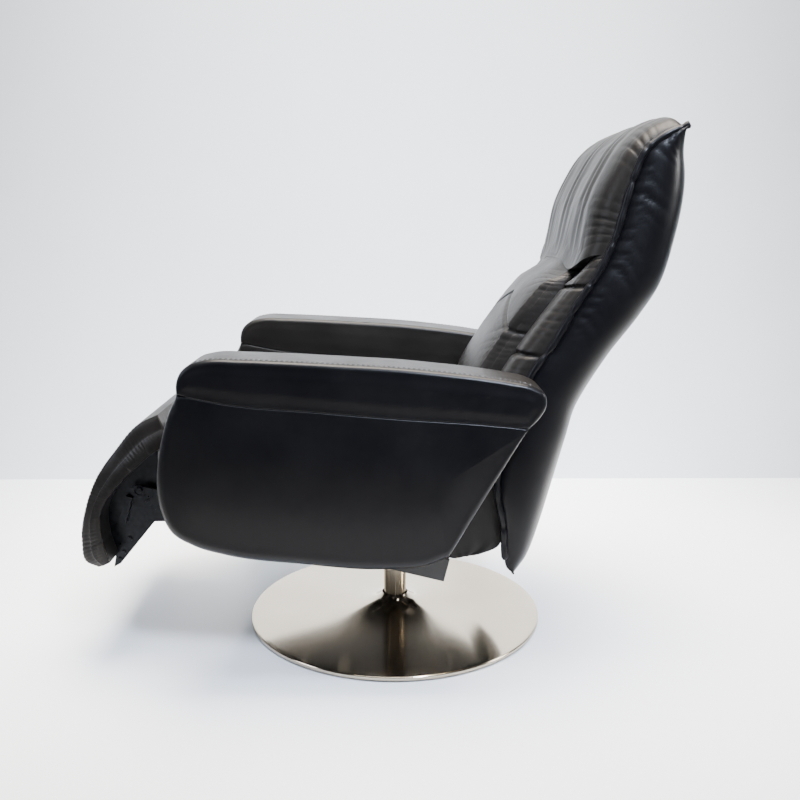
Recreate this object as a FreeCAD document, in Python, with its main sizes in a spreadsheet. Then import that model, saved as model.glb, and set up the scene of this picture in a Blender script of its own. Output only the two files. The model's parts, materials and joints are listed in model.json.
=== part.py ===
import FreeCAD, Part
import math
import os
import re
import Sketcher
from FreeCAD import Placement, Rotation, Vector

# Swivel recliner on a round trumpet base.
# Millimetres, +Z up, the sitter looks along -Y, +X is the sitter's left.
# The origin lies on the swivel axis at floor level.

# Driving sizes: plain numbers, one cell each
SIZES = {
    # round base
    "disc_radius": 304.5,
    "disc_rim_top": 11.0,
    "disc_wall": 2.0,
    "disc_rim_round": 3.0,
    "cone_radius": 27.0,
    "cone_top": 46.0,
    "pad_height": 3.0,
    "pad_radius": 298.0,
    "ballast_thickness": 5.0,
    "hub_wall": 9.5,
    "hub_height": 20.0,
    "column_radius": 23.5,
    "column_wall": 3.0,
    "column_top": 236.0,
    "bush_length": 70.0,
    "bush_flange": 3.0,
    "running_gap": 0.05,
    "bearing_gap": 0.1,
    # swivel head and chassis
    "spindle_radius": 17.0,
    "spindle_length": 110.0,
    "swivel_side": 200.0,
    "swivel_thickness": 6.0,
    "swivel_bolt_radius": 5.0,
    "swivel_bolt_spread": 150.0,
    "rail_width": 30.0,
    "rail_height": 25.0,
    "rail_front": -140.0,
    "rail_rear": 165.0,
    "cross_side": 25.0,
    "tube_wall": 3.0,
    "plate_inset": 28.0,
    "plate_thickness": 5.0,
    "plate_front": -388.0,
    "plate_top": 404.0,
    "plate_tail": 228.0,
    # seat
    "frame_height": 20.0,
    "frame_bar": 30.0,
    "frame_front": -384.0,
    "frame_rear": 90.0,
    "frame_inset": 15.0,
    "strap_width": 60.0,
    "strap_thickness": 2.0,
    "seat_half": 250.0,
    "seat_front": -388.0,
    "seat_rear": 90.0,
    "seat_front_high": 470.0,
    "seat_rear_high": 445.0,
    "seat_edge_round": 14.0,
    # arms
    "arm_gap": 5.0,
    "arm_width": 110.0,
    "arm_outer_round": 22.0,
    "arm_inner_round": 8.0,
    "arm_rail_high": 30.0,
    "arm_rail_low": 330.0,
    "arm_rail_front": -300.0,
    "arm_rail_rear": 40.0,
    "arm_bolt_radius": 4.0,
    "arm_bolt_head": 7.0,
    "arm_bolt_reach": 25.0,
    "skirt_thickness": 4.0,
    # side pivots of the leg rest
    "drive_pivot_y": -363.0,
    "drive_pivot_z": 386.4,
    "link_length": 110.0,
    "link_rest_angle": -61.2,
    "link_spacing": 90.0,
    "link_half": 12.0,
    "link_thickness": 5.0,
    "layer_gap": 3.0,
    "journal_radius": 8.0,
    "pin_radius": 6.0,
    "small_pin_radius": 5.0,
    "torque_tube_radius": 12.0,
    "rear_tube_radius": 10.0,
    "carrier_tube_radius": 9.0,
    "carrier_tube_drop": 28.0,
    "carrier_tube_back": 80.0,
    "carrier_reach": 140.0,
    "carrier_rise": 12.0,
    "carrier_low": 28.0,
    "tilt_lever": 25.1,
    "tilt_lever_angle": 136.4,
    "tilt_arm": 40.0,
    "tilt_arm_angle": 123.0,
    "tilt_half": 10.0,
    "tilt_slot_half": 5.5,
    "drive_lever": 45.0,
    "drive_lever_angle": -40.9,
    "board_inset": 10.0,
    "board_thickness": 10.0,
    "rest_inset": 5.0,
    # backrest
    "recline_pivot_y": 205.0,
    "recline_pivot_z": 300.0,
    "ear_half": 17.0,
    "upright_radius": 12.0,
    "upright_wall": 2.0,
    "upright_foot_y": 206.0,
    "upright_foot_z": 402.0,
    "upright_top_y": 393.0,
    "upright_top_z": 745.0,
    "crossbar_radius": 10.0,
    "back_board_thickness": 12.0,
    "cheek_thickness": 14.0,
    "rear_cover_thickness": 22.0,
    "lumbar_half": 150.0,
    "cushion_round": 16.0,
    "panel_gap": 1.0,
    # head section
    "head_pivot_y": 470.0,
    "head_pivot_z": 768.0,
    "head_pin_radius": 5.0,
    "head_plate_gap": 10.0,
    "head_board_thickness": 10.0,
    # actuators
    "motor_offset": 67.0,
    "motor_width": 48.0,
    "motor_height": 56.0,
    "motor_length": 90.0,
    "guide_radius": 15.0,
    "rod_radius": 6.0,
    "yoke_thickness": 5.0,
    "yoke_play": 2.4,
    "yoke_swing": 7.8,
    "lever_play": 0.8,
    # control panel in the right arm
    "control_length": 90.0,
    "control_height": 30.0,
    "control_depth": 14.0,
    "control_y": -180.0,
    "control_z": 474.0,
    "rocker_radius": 9.0,
    "rocker_length": 22.0,
    "rocker_pitch": 40.0,
    "rocker_gap": 0.3,
    # supply box and its lead
    "supply_length": 150.0,
    "supply_height": 45.0,
    "supply_width": 60.0,
    "supply_x": 120.0,
    "supply_y": 94.0,
    "supply_z": 143.0,
    "supply_tilt": 14.0,
    "hanger_width": 20.0,
    "hanger_thickness": 4.0,
    "lead_radius": 3.0,
}

# Sizes that follow from the driving ones
FORMULAS = {
    "bush_outer": "=column_radius - column_wall",
    "ballast_radius": "=disc_radius - disc_wall",
    "ballast_top": "=pad_height + ballast_thickness",
    "swivel_low": "=column_top + bush_flange + bearing_gap",
    "rail_low": "=swivel_low + swivel_thickness",
    "cross_low": "=rail_low + rail_height",
    "cross_top": "=cross_low + cross_side",
    "plate_inner": "=seat_half - plate_inset",
    "plate_outer": "=plate_inner + plate_thickness",
    "frame_half": "=seat_half - frame_inset",
    "frame_top": "=plate_top + frame_height",
    "cushion_low": "=frame_top + strap_thickness",
    "arm_inner": "=seat_half + arm_gap",
    "arm_outer": "=arm_inner + arm_width",
    "crank_layer": "=plate_inner - layer_gap - link_thickness",
    "tilt_layer": "=crank_layer - layer_gap - link_thickness",
    "carrier_layer": "=tilt_layer - layer_gap - link_thickness",
    "bracket_layer": "=carrier_layer - layer_gap - link_thickness",
    "board_half": "=seat_half - board_inset",
    "rest_half": "=seat_half - rest_inset",
    "knee_y": "=drive_pivot_y + link_length * cos(link_rest_angle * 1deg)",
    "knee_z": "=drive_pivot_z + link_length * sin(link_rest_angle * 1deg)",
    "rear_pivot_y": "=drive_pivot_y + link_spacing",
    "rear_knee_y": "=knee_y + link_spacing",
    "hang_y": "=knee_y - carrier_reach",
    "hang_z": "=knee_z + carrier_rise",
    "tilt_pin_y": "=knee_y + tilt_lever * cos(tilt_lever_angle * 1deg)",
    "tilt_pin_z": "=knee_z + tilt_lever * sin(tilt_lever_angle * 1deg)",
    "tilt_end_y": "=hang_y + tilt_arm * cos(tilt_arm_angle * 1deg)",
    "tilt_end_z": "=hang_z + tilt_arm * sin(tilt_arm_angle * 1deg)",
    "drive_pin_y": "=drive_pivot_y + drive_lever * cos(drive_lever_angle * 1deg)",
    "drive_pin_z": "=drive_pivot_z + drive_lever * sin(drive_lever_angle * 1deg)",
    "upright_centre": "=crank_layer - upright_radius",
    "back_half": "=seat_half",
    "cheek_inner": "=back_half - cheek_thickness",
    "head_plate_x": "=upright_centre - upright_radius - head_plate_gap",
}

# Outline of an arm, seen from the side: y, z
SEAM_LINE = [(-357, 546), (-276, 530), (-122, 516), (9, 505), (140, 496), (222, 488)]
ARM_KEEL = [(-357, 546), (-386, 475), (-400, 390), (-384, 310), (-287, 264), (-161, 248), (-17, 238), (60, 246)]
ARM_HEEL = [(60, 246), (92, 262), (222, 488)]
PAD_TOP = [(-357, 546), (-350, 580), (-318, 603), (-186, 601), (9, 589), (139, 575), (232, 557)]
PAD_TIP = [(232, 557), (254, 546), (246, 514), (222, 488)]

# Leg rest: outer face and the line where its pad meets the board
REST_FACE = [(-424, 484), (-458, 468), (-508, 414), (-543, 366), (-568, 303), (-575, 243), (-563, 203), (-545, 197)]
REST_LINE = [(-536, 206), (-548, 250), (-548, 306), (-535, 335), (-510, 366), (-479, 396), (-443, 426), (-412, 446)]

# Backrest and head section, seen from the side
BACK_REAR = [(208, 207), (219, 191), (240, 187), (262, 215), (292, 310), (318, 406), (349, 506), (392, 581),
             (448, 655), (478, 702), (498, 752)]
TAIL_FRONT = [(208, 207), (197, 281), (184, 351), (190, 410), (205, 452)]
HEAD_REAR = [(503, 770), (512, 838), (514, 880), (506, 928), (490, 972)]
HEAD_SEAM = [(368, 770), (382, 815), (394, 867), (420, 939), (455, 966), (490, 972)]
HEAD_FRONT = [(336, 770), (338, 815), (350, 867), (372, 914), (402, 966), (440, 993), (480, 996), (490, 972)]
LUMBAR_FRONT = [(118, 458), (134, 520), (166, 580), (212, 646), (262, 708), (318, 762)]
BOLSTER_FRONT = [(150, 458), (172, 510), (206, 570), (252, 638), (300, 702), (338, 764)]
CUSHION_BACK = [(205, 452), (244, 566), (276, 611), (313, 678), (366, 766)]

# Supply lead: hanging loop from the supply box to the recline motor (x, y, z)
LEAD_ROUTE = [(150, -46.1, 201.1), (150, -89.8, 212), (139, -132, 196), (104, -154, 170), (56, -162, 160),
              (8, -168, 172), (-30, -180, 205), (-54, -192, 250), (-66, -200, 292), (-67, -194, 329.8),
              (-67, -169.9, 332.7)]

doc = FreeCAD.newDocument("recliner")
sheet = doc.addObject("Spreadsheet::Sheet", "sizes")
pieces = []


def fill_sheet():
    """Write the driving sizes as numbers and the others as formulas, each with its alias."""
    rows = list(SIZES.items()) + list(FORMULAS.items())
    for row, (alias, content) in enumerate(rows, start=1):
        cell = "B%d" % row
        sheet.set("A%d" % row, alias.replace("_", " "))
        sheet.set(cell, str(content))
        sheet.setAlias(cell, alias)
    doc.recompute()


def size(alias):
    """Value of one cell of the sheet."""
    return float(sheet.get(alias))


def bound(text):
    """Expression text with each alias turned into a reference to the sheet."""
    def refer(match):
        word = match.group()
        known = word in SIZES or word in FORMULAS
        return "sizes." + word if known else word
    return re.sub(r"[A-Za-z_]\w*", refer, str(text))


def bind(thing, **properties):
    """Bind properties of an object to expressions."""
    for name, text in properties.items():
        thing.setExpression(name.replace("__", "."), bound(text))


def place(thing, x, y, z):
    """Bind the position of an object."""
    bind(thing, Placement__Base__x=x, Placement__Base__y=y, Placement__Base__z=z)


def box(name, corner, lengths):
    """Box from its low corner and its three lengths."""
    solid = doc.addObject("Part::Box", name)
    bind(solid, Length=lengths[0], Width=lengths[1], Height=lengths[2])
    place(solid, *corner)
    return solid


AXIS_TURN = {"X": Rotation(Vector(0, 1, 0), 90), "Y": Rotation(Vector(1, 0, 0), -90), "Z": Rotation()}


def rod(name, start, radius, length, axis="X"):
    """Round bar from its start point along an axis."""
    solid = doc.addObject("Part::Cylinder", name)
    solid.Placement = Placement(Vector(), AXIS_TURN[axis])
    bind(solid, Radius=radius, Height=length)
    place(solid, *start)
    return solid


def cut(name, base, tools):
    """Base with every tool taken away."""
    removed = tools[0] if len(tools) == 1 else together(name + "_tools", tools)
    result = doc.addObject("Part::Cut", name)
    result.Base = base
    result.Tool = removed
    return result


def joined(name, parts):
    """Parts welded into one solid."""
    result = doc.addObject("Part::MultiFuse", name)
    result.Shapes = parts
    return result


def together(name, parts):
    """Separate solids kept in one node."""
    result = doc.addObject("Part::Compound", name)
    result.Links = parts
    return result


def piece(thing, label):
    """Mark an object as a finished piece."""
    thing.Label = label
    pieces.append(thing)
    return thing


def plate(name, x, thickness, outline, holes=(), corner=None):
    """Flat plate in the Y-Z plane: a sketched outline with round holes, padded along X."""
    body = doc.addObject("PartDesign::Body", name)
    sketch = body.newObject("Sketcher::SketchObject", name + "_sketch")
    plane = [f for f in body.Origin.OriginFeatures if f.Role == "YZ_Plane"][0]
    sketch.AttachmentSupport = [(plane, "")]
    sketch.MapMode = "FlatFace"
    count = len(outline)
    for index in range(count):
        angle = 2 * math.pi * index / count
        following = 2 * math.pi * (index + 1) / count
        start = Vector(math.cos(angle), math.sin(angle), 0)
        end = Vector(math.cos(following), math.sin(following), 0)
        sketch.addGeometry(Part.LineSegment(start, end), False)
    for index in range(count):
        sketch.addConstraint(Sketcher.Constraint("Coincident", index, 2, (index + 1) % count, 1))
    for index, (y, z) in enumerate(outline):
        pin_point(sketch, index, 1, y, z)
    for index, (y, z, radius) in enumerate(holes, start=count):
        sketch.addGeometry(Part.Circle(Vector(0, 0, 0), Vector(0, 0, 1), 1), False)
        pin_point(sketch, index, 3, y, z)
        ring = sketch.addConstraint(Sketcher.Constraint("Radius", index, 1.0))
        bind_constraint(sketch, ring, "radius_%d" % index, radius)
    doc.recompute()
    pad = body.newObject("PartDesign::Pad", name + "_pad")
    pad.Profile = sketch
    bind(pad, Length=thickness)
    sketch.Visibility = False
    if corner:
        doc.recompute()
        round_corners(body, pad, name, corner)
    place(body, x, "0", "0")
    return body


def pin_point(sketch, index, position, y, z):
    """Hold one point of a sketch at a place given by two expressions."""
    across = sketch.addConstraint(Sketcher.Constraint("DistanceX", -1, 1, index, position, 1.0))
    bind_constraint(sketch, across, "y_%d" % index, y)
    upward = sketch.addConstraint(Sketcher.Constraint("DistanceY", -1, 1, index, position, 1.0))
    bind_constraint(sketch, upward, "z_%d" % index, z)


def bind_constraint(sketch, index, name, text):
    """Name a constraint and bind it to the sheet."""
    sketch.renameConstraint(index, name)
    sketch.setExpression("Constraints." + name, bound(text))


def round_corners(body, pad, name, radius):
    """Round the corners of a plate where its straight edges along X meet."""
    names = []
    for index, edge in enumerate(pad.Shape.Edges, start=1):
        straight = isinstance(edge.Curve, Part.Line)
        along = abs(edge.Vertexes[0].X - edge.Vertexes[-1].X) > 1
        if straight and along and len(edge.Vertexes) == 2:
            names.append("Edge%d" % index)
    fillet = body.newObject("PartDesign::Fillet", name + "_fillet")
    fillet.Base = (pad, names)
    bind(fillet, Radius=radius)


def on_both_sides(name, inner, thickness, make):
    """The same plate on the left (+X) and on the right (-X) of the chair."""
    left = make(name + "_left", inner)
    right = make(name + "_right", "-(%s) - (%s)" % (inner, thickness))
    return [left, right]


def pins(name, inner, outer, y, z, radius):
    """One round pin on each side of the chair, between two distances from the middle."""
    length = "(%s) - (%s)" % (outer, inner)
    left = rod(name + "_left", (inner, y, z), radius, length)
    right = rod(name + "_right", ("-(%s)" % outer, y, z), radius, length)
    return [left, right]


def bar_outline(ay, az, by, bz, half):
    """Outline of a straight link between two pivots, as a long hexagon with margins at both ends."""
    run = "sqrt(((%s) - (%s)) ^ 2 + ((%s) - (%s)) ^ 2)" % (by, ay, bz, az)
    cy = "(((%s) - (%s)) / %s)" % (by, ay, run)
    cz = "(((%s) - (%s)) / %s)" % (bz, az, run)
    def corner(y, z, along, across):
        return ("%s + (%s) * (%s) * %s - (%s) * (%s) * %s" % (y, half, along, cy, half, across, cz),
                "%s + (%s) * (%s) * %s + (%s) * (%s) * %s" % (z, half, along, cz, half, across, cy))
    return [corner(ay, az, -1, -0.45), corner(ay, az, -0.3, -1), corner(by, bz, 0.3, -1),
            corner(by, bz, 1, -0.45), corner(by, bz, 1, 0.45), corner(by, bz, 0.3, 1),
            corner(ay, az, -0.3, 1), corner(ay, az, -1, 0.45)]


def curve(points, x):
    """Smooth edge through points of the side view."""
    spline = Part.BSplineCurve()
    spline.interpolate([Vector(x, y, z) for y, z in points])
    return spline.toShape()


def straight(points, x):
    """Straight edges through points of the side view."""
    vectors = [Vector(x, y, z) for y, z in points]
    return [Part.makeLine(a, b) for a, b in zip(vectors, vectors[1:])]


def slab(edges, width):
    """Closed outline of edges, extruded along X."""
    face = Part.Face(Part.Wire(Part.__sortEdges__(edges)))
    return face.extrude(Vector(width, 0, 0))


def rounded_at(solid, x, radius, below=1000):
    """Solid with the edges rounded that lie on a plane of constant X, under a given height."""
    rim = [e for e in solid.Edges if all(abs(v.X - x) < 0.01 for v in e.Vertexes)
           and abs(e.CenterOfMass.x - x) < 0.01 and e.CenterOfMass.z < below]
    return solid.makeFillet(radius, rim)


def mirrored(shape):
    """Shape of the other side of the chair."""
    return shape.mirror(Vector(), Vector(1, 0, 0))


def shaped(name, shape):
    """Piece whose outline is a free curve."""
    feature = doc.addObject("Part::Feature", name)
    feature.Shape = shape
    return feature


def offset_line(points, distance):
    """Points moved sideways by a distance, to the left of the direction of travel."""
    moved = []
    for index, (y, z) in enumerate(points):
        before = points[max(index - 1, 0)]
        after = points[min(index + 1, len(points) - 1)]
        run = math.hypot(after[0] - before[0], after[1] - before[1])
        moved.append((y - (after[1] - before[1]) / run * distance,
                      z + (after[0] - before[0]) / run * distance))
    return moved


def disc_height(radius, rim_top, cone_top, cone_radius, rim_radius):
    """Height of the trumpet surface: it falls off as one over the radius."""
    share = (1 / radius - 1 / rim_radius) / (1 / cone_radius - 1 / rim_radius)
    return rim_top + (cone_top - rim_top) * share


def trumpet_line(lower):
    """Curve of the disc cover's upper face, moved down by its wall for the inner face."""
    rim = size("disc_radius") - size("disc_rim_round")
    ratio = size("cone_radius") / rim
    radii = [rim * ratio ** (step / 7) for step in range(8)]
    points = []
    for radius in radii:
        height = disc_height(radius, size("disc_rim_top"), size("cone_top"), size("cone_radius"), rim)
        points.append(Vector(radius, 0, height - lower))
    line = Part.BSplineCurve()
    line.interpolate(points)
    return line.toShape()


def make_base():
    """Floor pad, ballast plate, spun cover, column and its bush: everything that stands still."""
    piece(rod("floor_disc", ("0", "0", "0"), "pad_radius", "pad_height", "Z"), "floor_pad")
    plate_disc = rod("ballast_disc", ("0", "0", "pad_height"), "ballast_radius", "ballast_thickness", "Z")
    hub = rod("hub", ("0", "0", "ballast_top"), "column_radius + hub_wall", "hub_height", "Z")
    socket = rod("hub_socket", ("0", "0", "ballast_top"), "column_radius", "hub_height", "Z")
    piece(cut("ballast", joined("ballast_blank", [plate_disc, hub]), [socket]), "ballast_plate")
    piece(shaped("cover", disc_cover()), "base_cover")
    outer = rod("column_outer", ("0", "0", "ballast_top"), "column_radius", "column_top - ballast_top", "Z")
    inner = rod("column_bore", ("0", "0", "ballast_top"), "bush_outer", "column_top - ballast_top", "Z")
    piece(cut("column", outer, [inner]), "column_tube")
    sleeve = rod("bush_sleeve", ("0", "0", "column_top - bush_length"), "bush_outer", "bush_length", "Z")
    flange = rod("bush_flange_disc", ("0", "0", "column_top"), "column_radius", "bush_flange", "Z")
    bore = rod("bush_bore", ("0", "0", "column_top - bush_length"), "spindle_radius + running_gap",
               "bush_length + bush_flange", "Z")
    piece(cut("bush", joined("bush_blank", [sleeve, flange]), [bore]), "column_bush")


def disc_cover():
    """Spun stainless cover with a turned-down rim."""
    rim_radius = size("disc_radius")
    rounding = size("disc_rim_round")
    wall = size("disc_wall")
    low = size("pad_height")
    top = size("disc_rim_top")
    upper = trumpet_line(0)
    lower = trumpet_line(wall)
    inner_end = lower.Vertexes[-1].Point
    upper_end = upper.Vertexes[-1].Point
    diagonal = math.sqrt(0.5)
    corner = Part.Arc(Vector(rim_radius, 0, top - rounding),
                      Vector(rim_radius - rounding * (1 - diagonal), 0, top - rounding * (1 - diagonal)),
                      Vector(rim_radius - rounding, 0, top)).toShape()
    edges = [
        Part.makeLine(Vector(rim_radius, 0, low), Vector(rim_radius, 0, top - rounding)),
        corner, upper,
        Part.makeLine(upper_end, inner_end), lower,
        Part.makeLine(lower.Vertexes[0].Point, Vector(rim_radius - wall, 0, top - rounding)),
        Part.makeLine(Vector(rim_radius - wall, 0, top - rounding), Vector(rim_radius - wall, 0, low)),
        Part.makeLine(Vector(rim_radius - wall, 0, low), Vector(rim_radius, 0, low)),
    ]
    face = Part.Face(Part.Wire(Part.__sortEdges__(edges)))
    return face.revolve(Vector(), Vector(0, 0, 1), 360)


RAIL_BORE = ("rail_width - 2 * tube_wall", "rail_rear - rail_front", "rail_height - 2 * tube_wall")


def make_chassis():
    """Spindle, swivel plate, rails, cross tubes and side plates under the seat."""
    piece(rod("spindle_bar", ("0", "0", "swivel_low - spindle_length"), "spindle_radius", "spindle_length", "Z"),
          "swivel_spindle")
    bolt_places = [("%s swivel_side / 2 %s 15" % (sx, "-" if sx == "" else "+"), sy) for sx in ("", "-")
                   for sy in ("swivel_bolt_spread / 2", "-swivel_bolt_spread / 2")]
    holes = [rod("swivel_hole_%d" % i, (x, y, "swivel_low"), "swivel_bolt_radius", "swivel_thickness + rail_height",
                 "Z") for i, (x, y) in enumerate(bolt_places)]
    top = box("swivel_blank", ("-swivel_side / 2", "-swivel_side / 2", "swivel_low"),
              ("swivel_side", "swivel_side", "swivel_thickness"))
    piece(cut("swivel", top, holes), "swivel_plate")
    rails = [box("rail_left", ("swivel_side / 2 - rail_width", "rail_front", "rail_low"),
                 ("rail_width", "rail_rear - rail_front", "rail_height")),
             box("rail_right", ("-swivel_side / 2", "rail_front", "rail_low"),
                 ("rail_width", "rail_rear - rail_front", "rail_height"))]
    bores = [box("rail_bore_left", ("swivel_side / 2 - rail_width + tube_wall", "rail_front",
                                    "rail_low + tube_wall"), RAIL_BORE),
             box("rail_bore_right", ("-swivel_side / 2 + tube_wall", "rail_front", "rail_low + tube_wall"),
                 RAIL_BORE)]
    rails = [cut("drilled_" + r.Name, r, holes[i * 2:i * 2 + 2] + [bores[i]]) for i, r in enumerate(rails)]
    piece(together("rails", rails), "seat_rails")
    bolts = []
    for index, (x, y) in enumerate(bolt_places):
        shank = rod("swivel_shank_%d" % index, (x, y, "swivel_low"), "swivel_bolt_radius",
                    "swivel_thickness + rail_height", "Z")
        head = rod("swivel_head_%d" % index, (x, y, "swivel_low - 6"), "swivel_bolt_radius * 1.7", "6", "Z")
        bolts.append(joined("swivel_bolt_%d" % index, [shank, head]))
    piece(together("swivel_bolt_set", bolts), "swivel_bolts")
    crosses = []
    for name, start in (("front_cross", "rail_front"), ("rear_cross", "rail_rear - cross_side")):
        blank = box(name, ("-plate_inner", start, "cross_low"), ("2 * plate_inner", "cross_side", "cross_side"))
        bore = box(name + "_bore", ("-plate_inner", start + " + tube_wall", "cross_low + tube_wall"),
                   ("2 * plate_inner", "cross_side - 2 * tube_wall", "cross_side - 2 * tube_wall"))
        crosses.append(cut(name + "_tube", blank, [bore]))
    piece(together("crosses", crosses), "cross_tubes")
    outline = [("plate_front", "plate_top"), ("plate_front", "drive_pivot_z - 22"),
               ("rear_pivot_y + 20", "drive_pivot_z - 34"), ("rail_front - 30", "cross_low"),
               ("recline_pivot_y + ear_half", "cross_low"), ("plate_tail", "recline_pivot_z - 14"),
               ("plate_tail", "recline_pivot_z + 18"), ("recline_pivot_y - 8", "recline_pivot_z + 44"),
               ("frame_rear + 20", "plate_top")]
    pivot_holes = [("drive_pivot_y", "drive_pivot_z", "journal_radius + running_gap"),
                   ("rear_pivot_y", "drive_pivot_z", "journal_radius + running_gap"),
                   ("recline_pivot_y", "recline_pivot_z", "journal_radius + running_gap")]
    bolt_holes = [(y, "arm_rail_low + arm_rail_high / 2", "arm_bolt_radius") for y in ARM_BOLT_ROWS]
    sides = on_both_sides("side_plate_blank", "plate_inner", "plate_thickness",
                          lambda n, x: plate(n, x, "plate_thickness", outline, pivot_holes + bolt_holes, "6"))
    piece(sides[0], "side_plate_left")
    piece(sides[1], "side_plate_right")


ARM_BOLT_ROWS = ("rail_front - 20", "arm_rail_rear - 20")


def make_seat():
    """Wooden seat frame, webbing, cushion and the leather skirts at its rear corners."""
    length = "frame_rear - frame_front"
    bars = [box("front_bar", ("-frame_half", "frame_front", "plate_top"), ("2 * frame_half", "frame_bar",
                                                                          "frame_height")),
            box("rear_bar", ("-frame_half", "frame_rear - frame_bar", "plate_top"),
                ("2 * frame_half", "frame_bar", "frame_height")),
            box("left_bar", ("frame_half - frame_bar", "frame_front + frame_bar", "plate_top"),
                ("frame_bar", length + " - 2 * frame_bar", "frame_height")),
            box("right_bar", ("-frame_half", "frame_front + frame_bar", "plate_top"),
                ("frame_bar", length + " - 2 * frame_bar", "frame_height"))]
    piece(together("seat_bars", bars), "seat_frame_bars")
    strap_count = 5
    straps = []
    for index in range(strap_count):
        middle = "frame_front + (%s) * %s" % (length, (index + 0.5) / strap_count)
        straps.append(box("strap_%d" % index, ("-frame_half", middle + " - strap_width / 2", "frame_top"),
                          ("2 * frame_half", "strap_width", "strap_thickness")))
    piece(together("straps", straps), "seat_webbing")
    piece(shaped("seat_pad", seat_cushion()), "seat_cushion")
    skirt_outline = [("60", "262"), ("84", "216"), ("112", "207"), ("150", "214"), ("194", "234"),
                     ("196", "300"), ("176", "380"), ("frame_rear + 22", "plate_top - 2"), ("60", "plate_top - 2")]
    skirts = on_both_sides("skirt", "plate_outer", "skirt_thickness",
                           lambda n, x: plate(n, x, "skirt_thickness", skirt_outline))
    piece(together("skirt_pair", skirts), "seat_skirts")


def seat_cushion():
    """Seat pad: flat below, crowned above, rounded at its front edge."""
    low = size("cushion_low")
    front = size("seat_front")
    rear = size("seat_rear")
    high = size("seat_front_high")
    back_high = size("seat_rear_high")
    half = size("seat_half")
    roll = [(front + 3, low), (front, low + 20), (front + 10, high - 8), (front + 32, high),
            ((front + rear) / 2, high - 9), (rear - 12, back_high), (rear, back_high - 10)]
    base = [(rear, back_high - 10), (rear, low), (front + 3, low)]
    solid = slab([curve(roll, -half)] + straight(base, -half), 2 * half)
    return rounded_top(solid, half, size("seat_edge_round"), low)


def rounded_top(solid, half, radius, low):
    """Solid with its edges at both ends rounded, apart from those of its flat underside."""
    rims = []
    for edge in solid.Edges:
        middle = edge.CenterOfMass
        at_end = abs(abs(middle.x) - half) < 0.01
        if at_end and middle.z > low + 1 and edge.Length > radius * 2:
            rims.append(edge)
    return solid.makeFillet(radius, rims)


def make_arms():
    """Both arms: a side panel, a pad on top of it, the rail that carries it and its bolts."""
    inner = size("arm_inner")
    outer = size("arm_outer")
    panel = slab([curve(ARM_KEEL, inner)] + straight(ARM_HEEL, inner) + [curve(SEAM_LINE, inner)],
                 outer - inner)
    below_seam = min(z for _, z in SEAM_LINE) - 8
    panel = rounded_at(panel, outer, size("arm_outer_round"), below_seam)
    panel = rounded_at(panel, inner, size("arm_inner_round"), below_seam)
    pad = slab([curve(PAD_TOP, inner), curve(PAD_TIP, inner), curve(SEAM_LINE, inner)], outer - inner)
    pad = rounded_at(pad, outer, size("arm_inner_round"))
    pad = rounded_at(pad, inner, size("arm_inner_round"))
    shank_start = size("plate_inner") - 4
    drill = []
    for text in ARM_BOLT_ROWS:
        drill.append(Part.makeCylinder(size("arm_bolt_radius"), size("arm_bolt_reach") + inner - shank_start,
                                       Vector(shank_start, bolt_row(text), bolt_height()), Vector(1, 0, 0)))
    drilled = panel
    for tool in drill:
        drilled = drilled.cut(tool)
    piece(shaped("arm_left", drilled), "arm_panel_left")
    pocket = Part.makeBox(size("control_depth"), size("control_length"), size("control_height"),
                          Vector(-inner - size("control_depth"), size("control_y"), size("control_z")))
    piece(shaped("arm_right", mirrored(drilled).cut(pocket)), "arm_panel_right")
    piece(shaped("pad_left", pad), "arm_pad_left")
    piece(shaped("pad_right", mirrored(pad)), "arm_pad_right")
    rail = "arm_rail_rear - arm_rail_front"
    holes = []
    for index, row in enumerate(ARM_BOLT_ROWS):
        holes.append(rod("arm_rail_hole_%d" % index, ("-arm_inner", row, "arm_rail_low + arm_rail_high / 2"),
                         "arm_bolt_radius", "2 * arm_inner"))
    rails = [box("arm_rail_left", ("plate_outer", "arm_rail_front", "arm_rail_low"),
                 ("arm_inner - plate_outer", rail, "arm_rail_high")),
             box("arm_rail_right", ("-arm_inner", "arm_rail_front", "arm_rail_low"),
                 ("arm_inner - plate_outer", rail, "arm_rail_high"))]
    bores = []
    for side, start in (("left", "plate_outer + tube_wall"), ("right", "tube_wall - arm_inner")):
        bores.append(box("arm_rail_bore_" + side, (start, "arm_rail_front", "arm_rail_low + tube_wall"),
                         ("arm_inner - plate_outer - 2 * tube_wall", rail, "arm_rail_high - 2 * tube_wall")))
    rails = [cut("drilled_" + r.Name, r, holes + [bores[i]]) for i, r in enumerate(rails)]
    piece(together("arm_rail_pair", rails), "arm_rails")
    bolts = []
    for index, row in enumerate(ARM_BOLT_ROWS):
        height = "arm_rail_low + arm_rail_high / 2"
        heads = pins("arm_bolt_head_%d" % index, "plate_inner - 3", "plate_inner", row, height, "arm_bolt_head")
        shanks = pins("arm_bolt_shank_%d" % index, "plate_inner - 3", "arm_inner + arm_bolt_reach - 1", row, height,
                      "arm_bolt_radius")
        bolts += [joined("arm_bolt_%d_%d" % (index, side), [heads[side], shanks[side]]) for side in (0, 1)]
    piece(together("arm_bolt_set", bolts), "arm_bolts")


def bolt_row(text):
    """Place of a row of arm bolts along Y."""
    alias, step = text.split(" - ")
    return size(alias) - float(step)


def bolt_height():
    """Height of the arm bolts."""
    return size("arm_rail_low") + size("arm_rail_high") / 2


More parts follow.
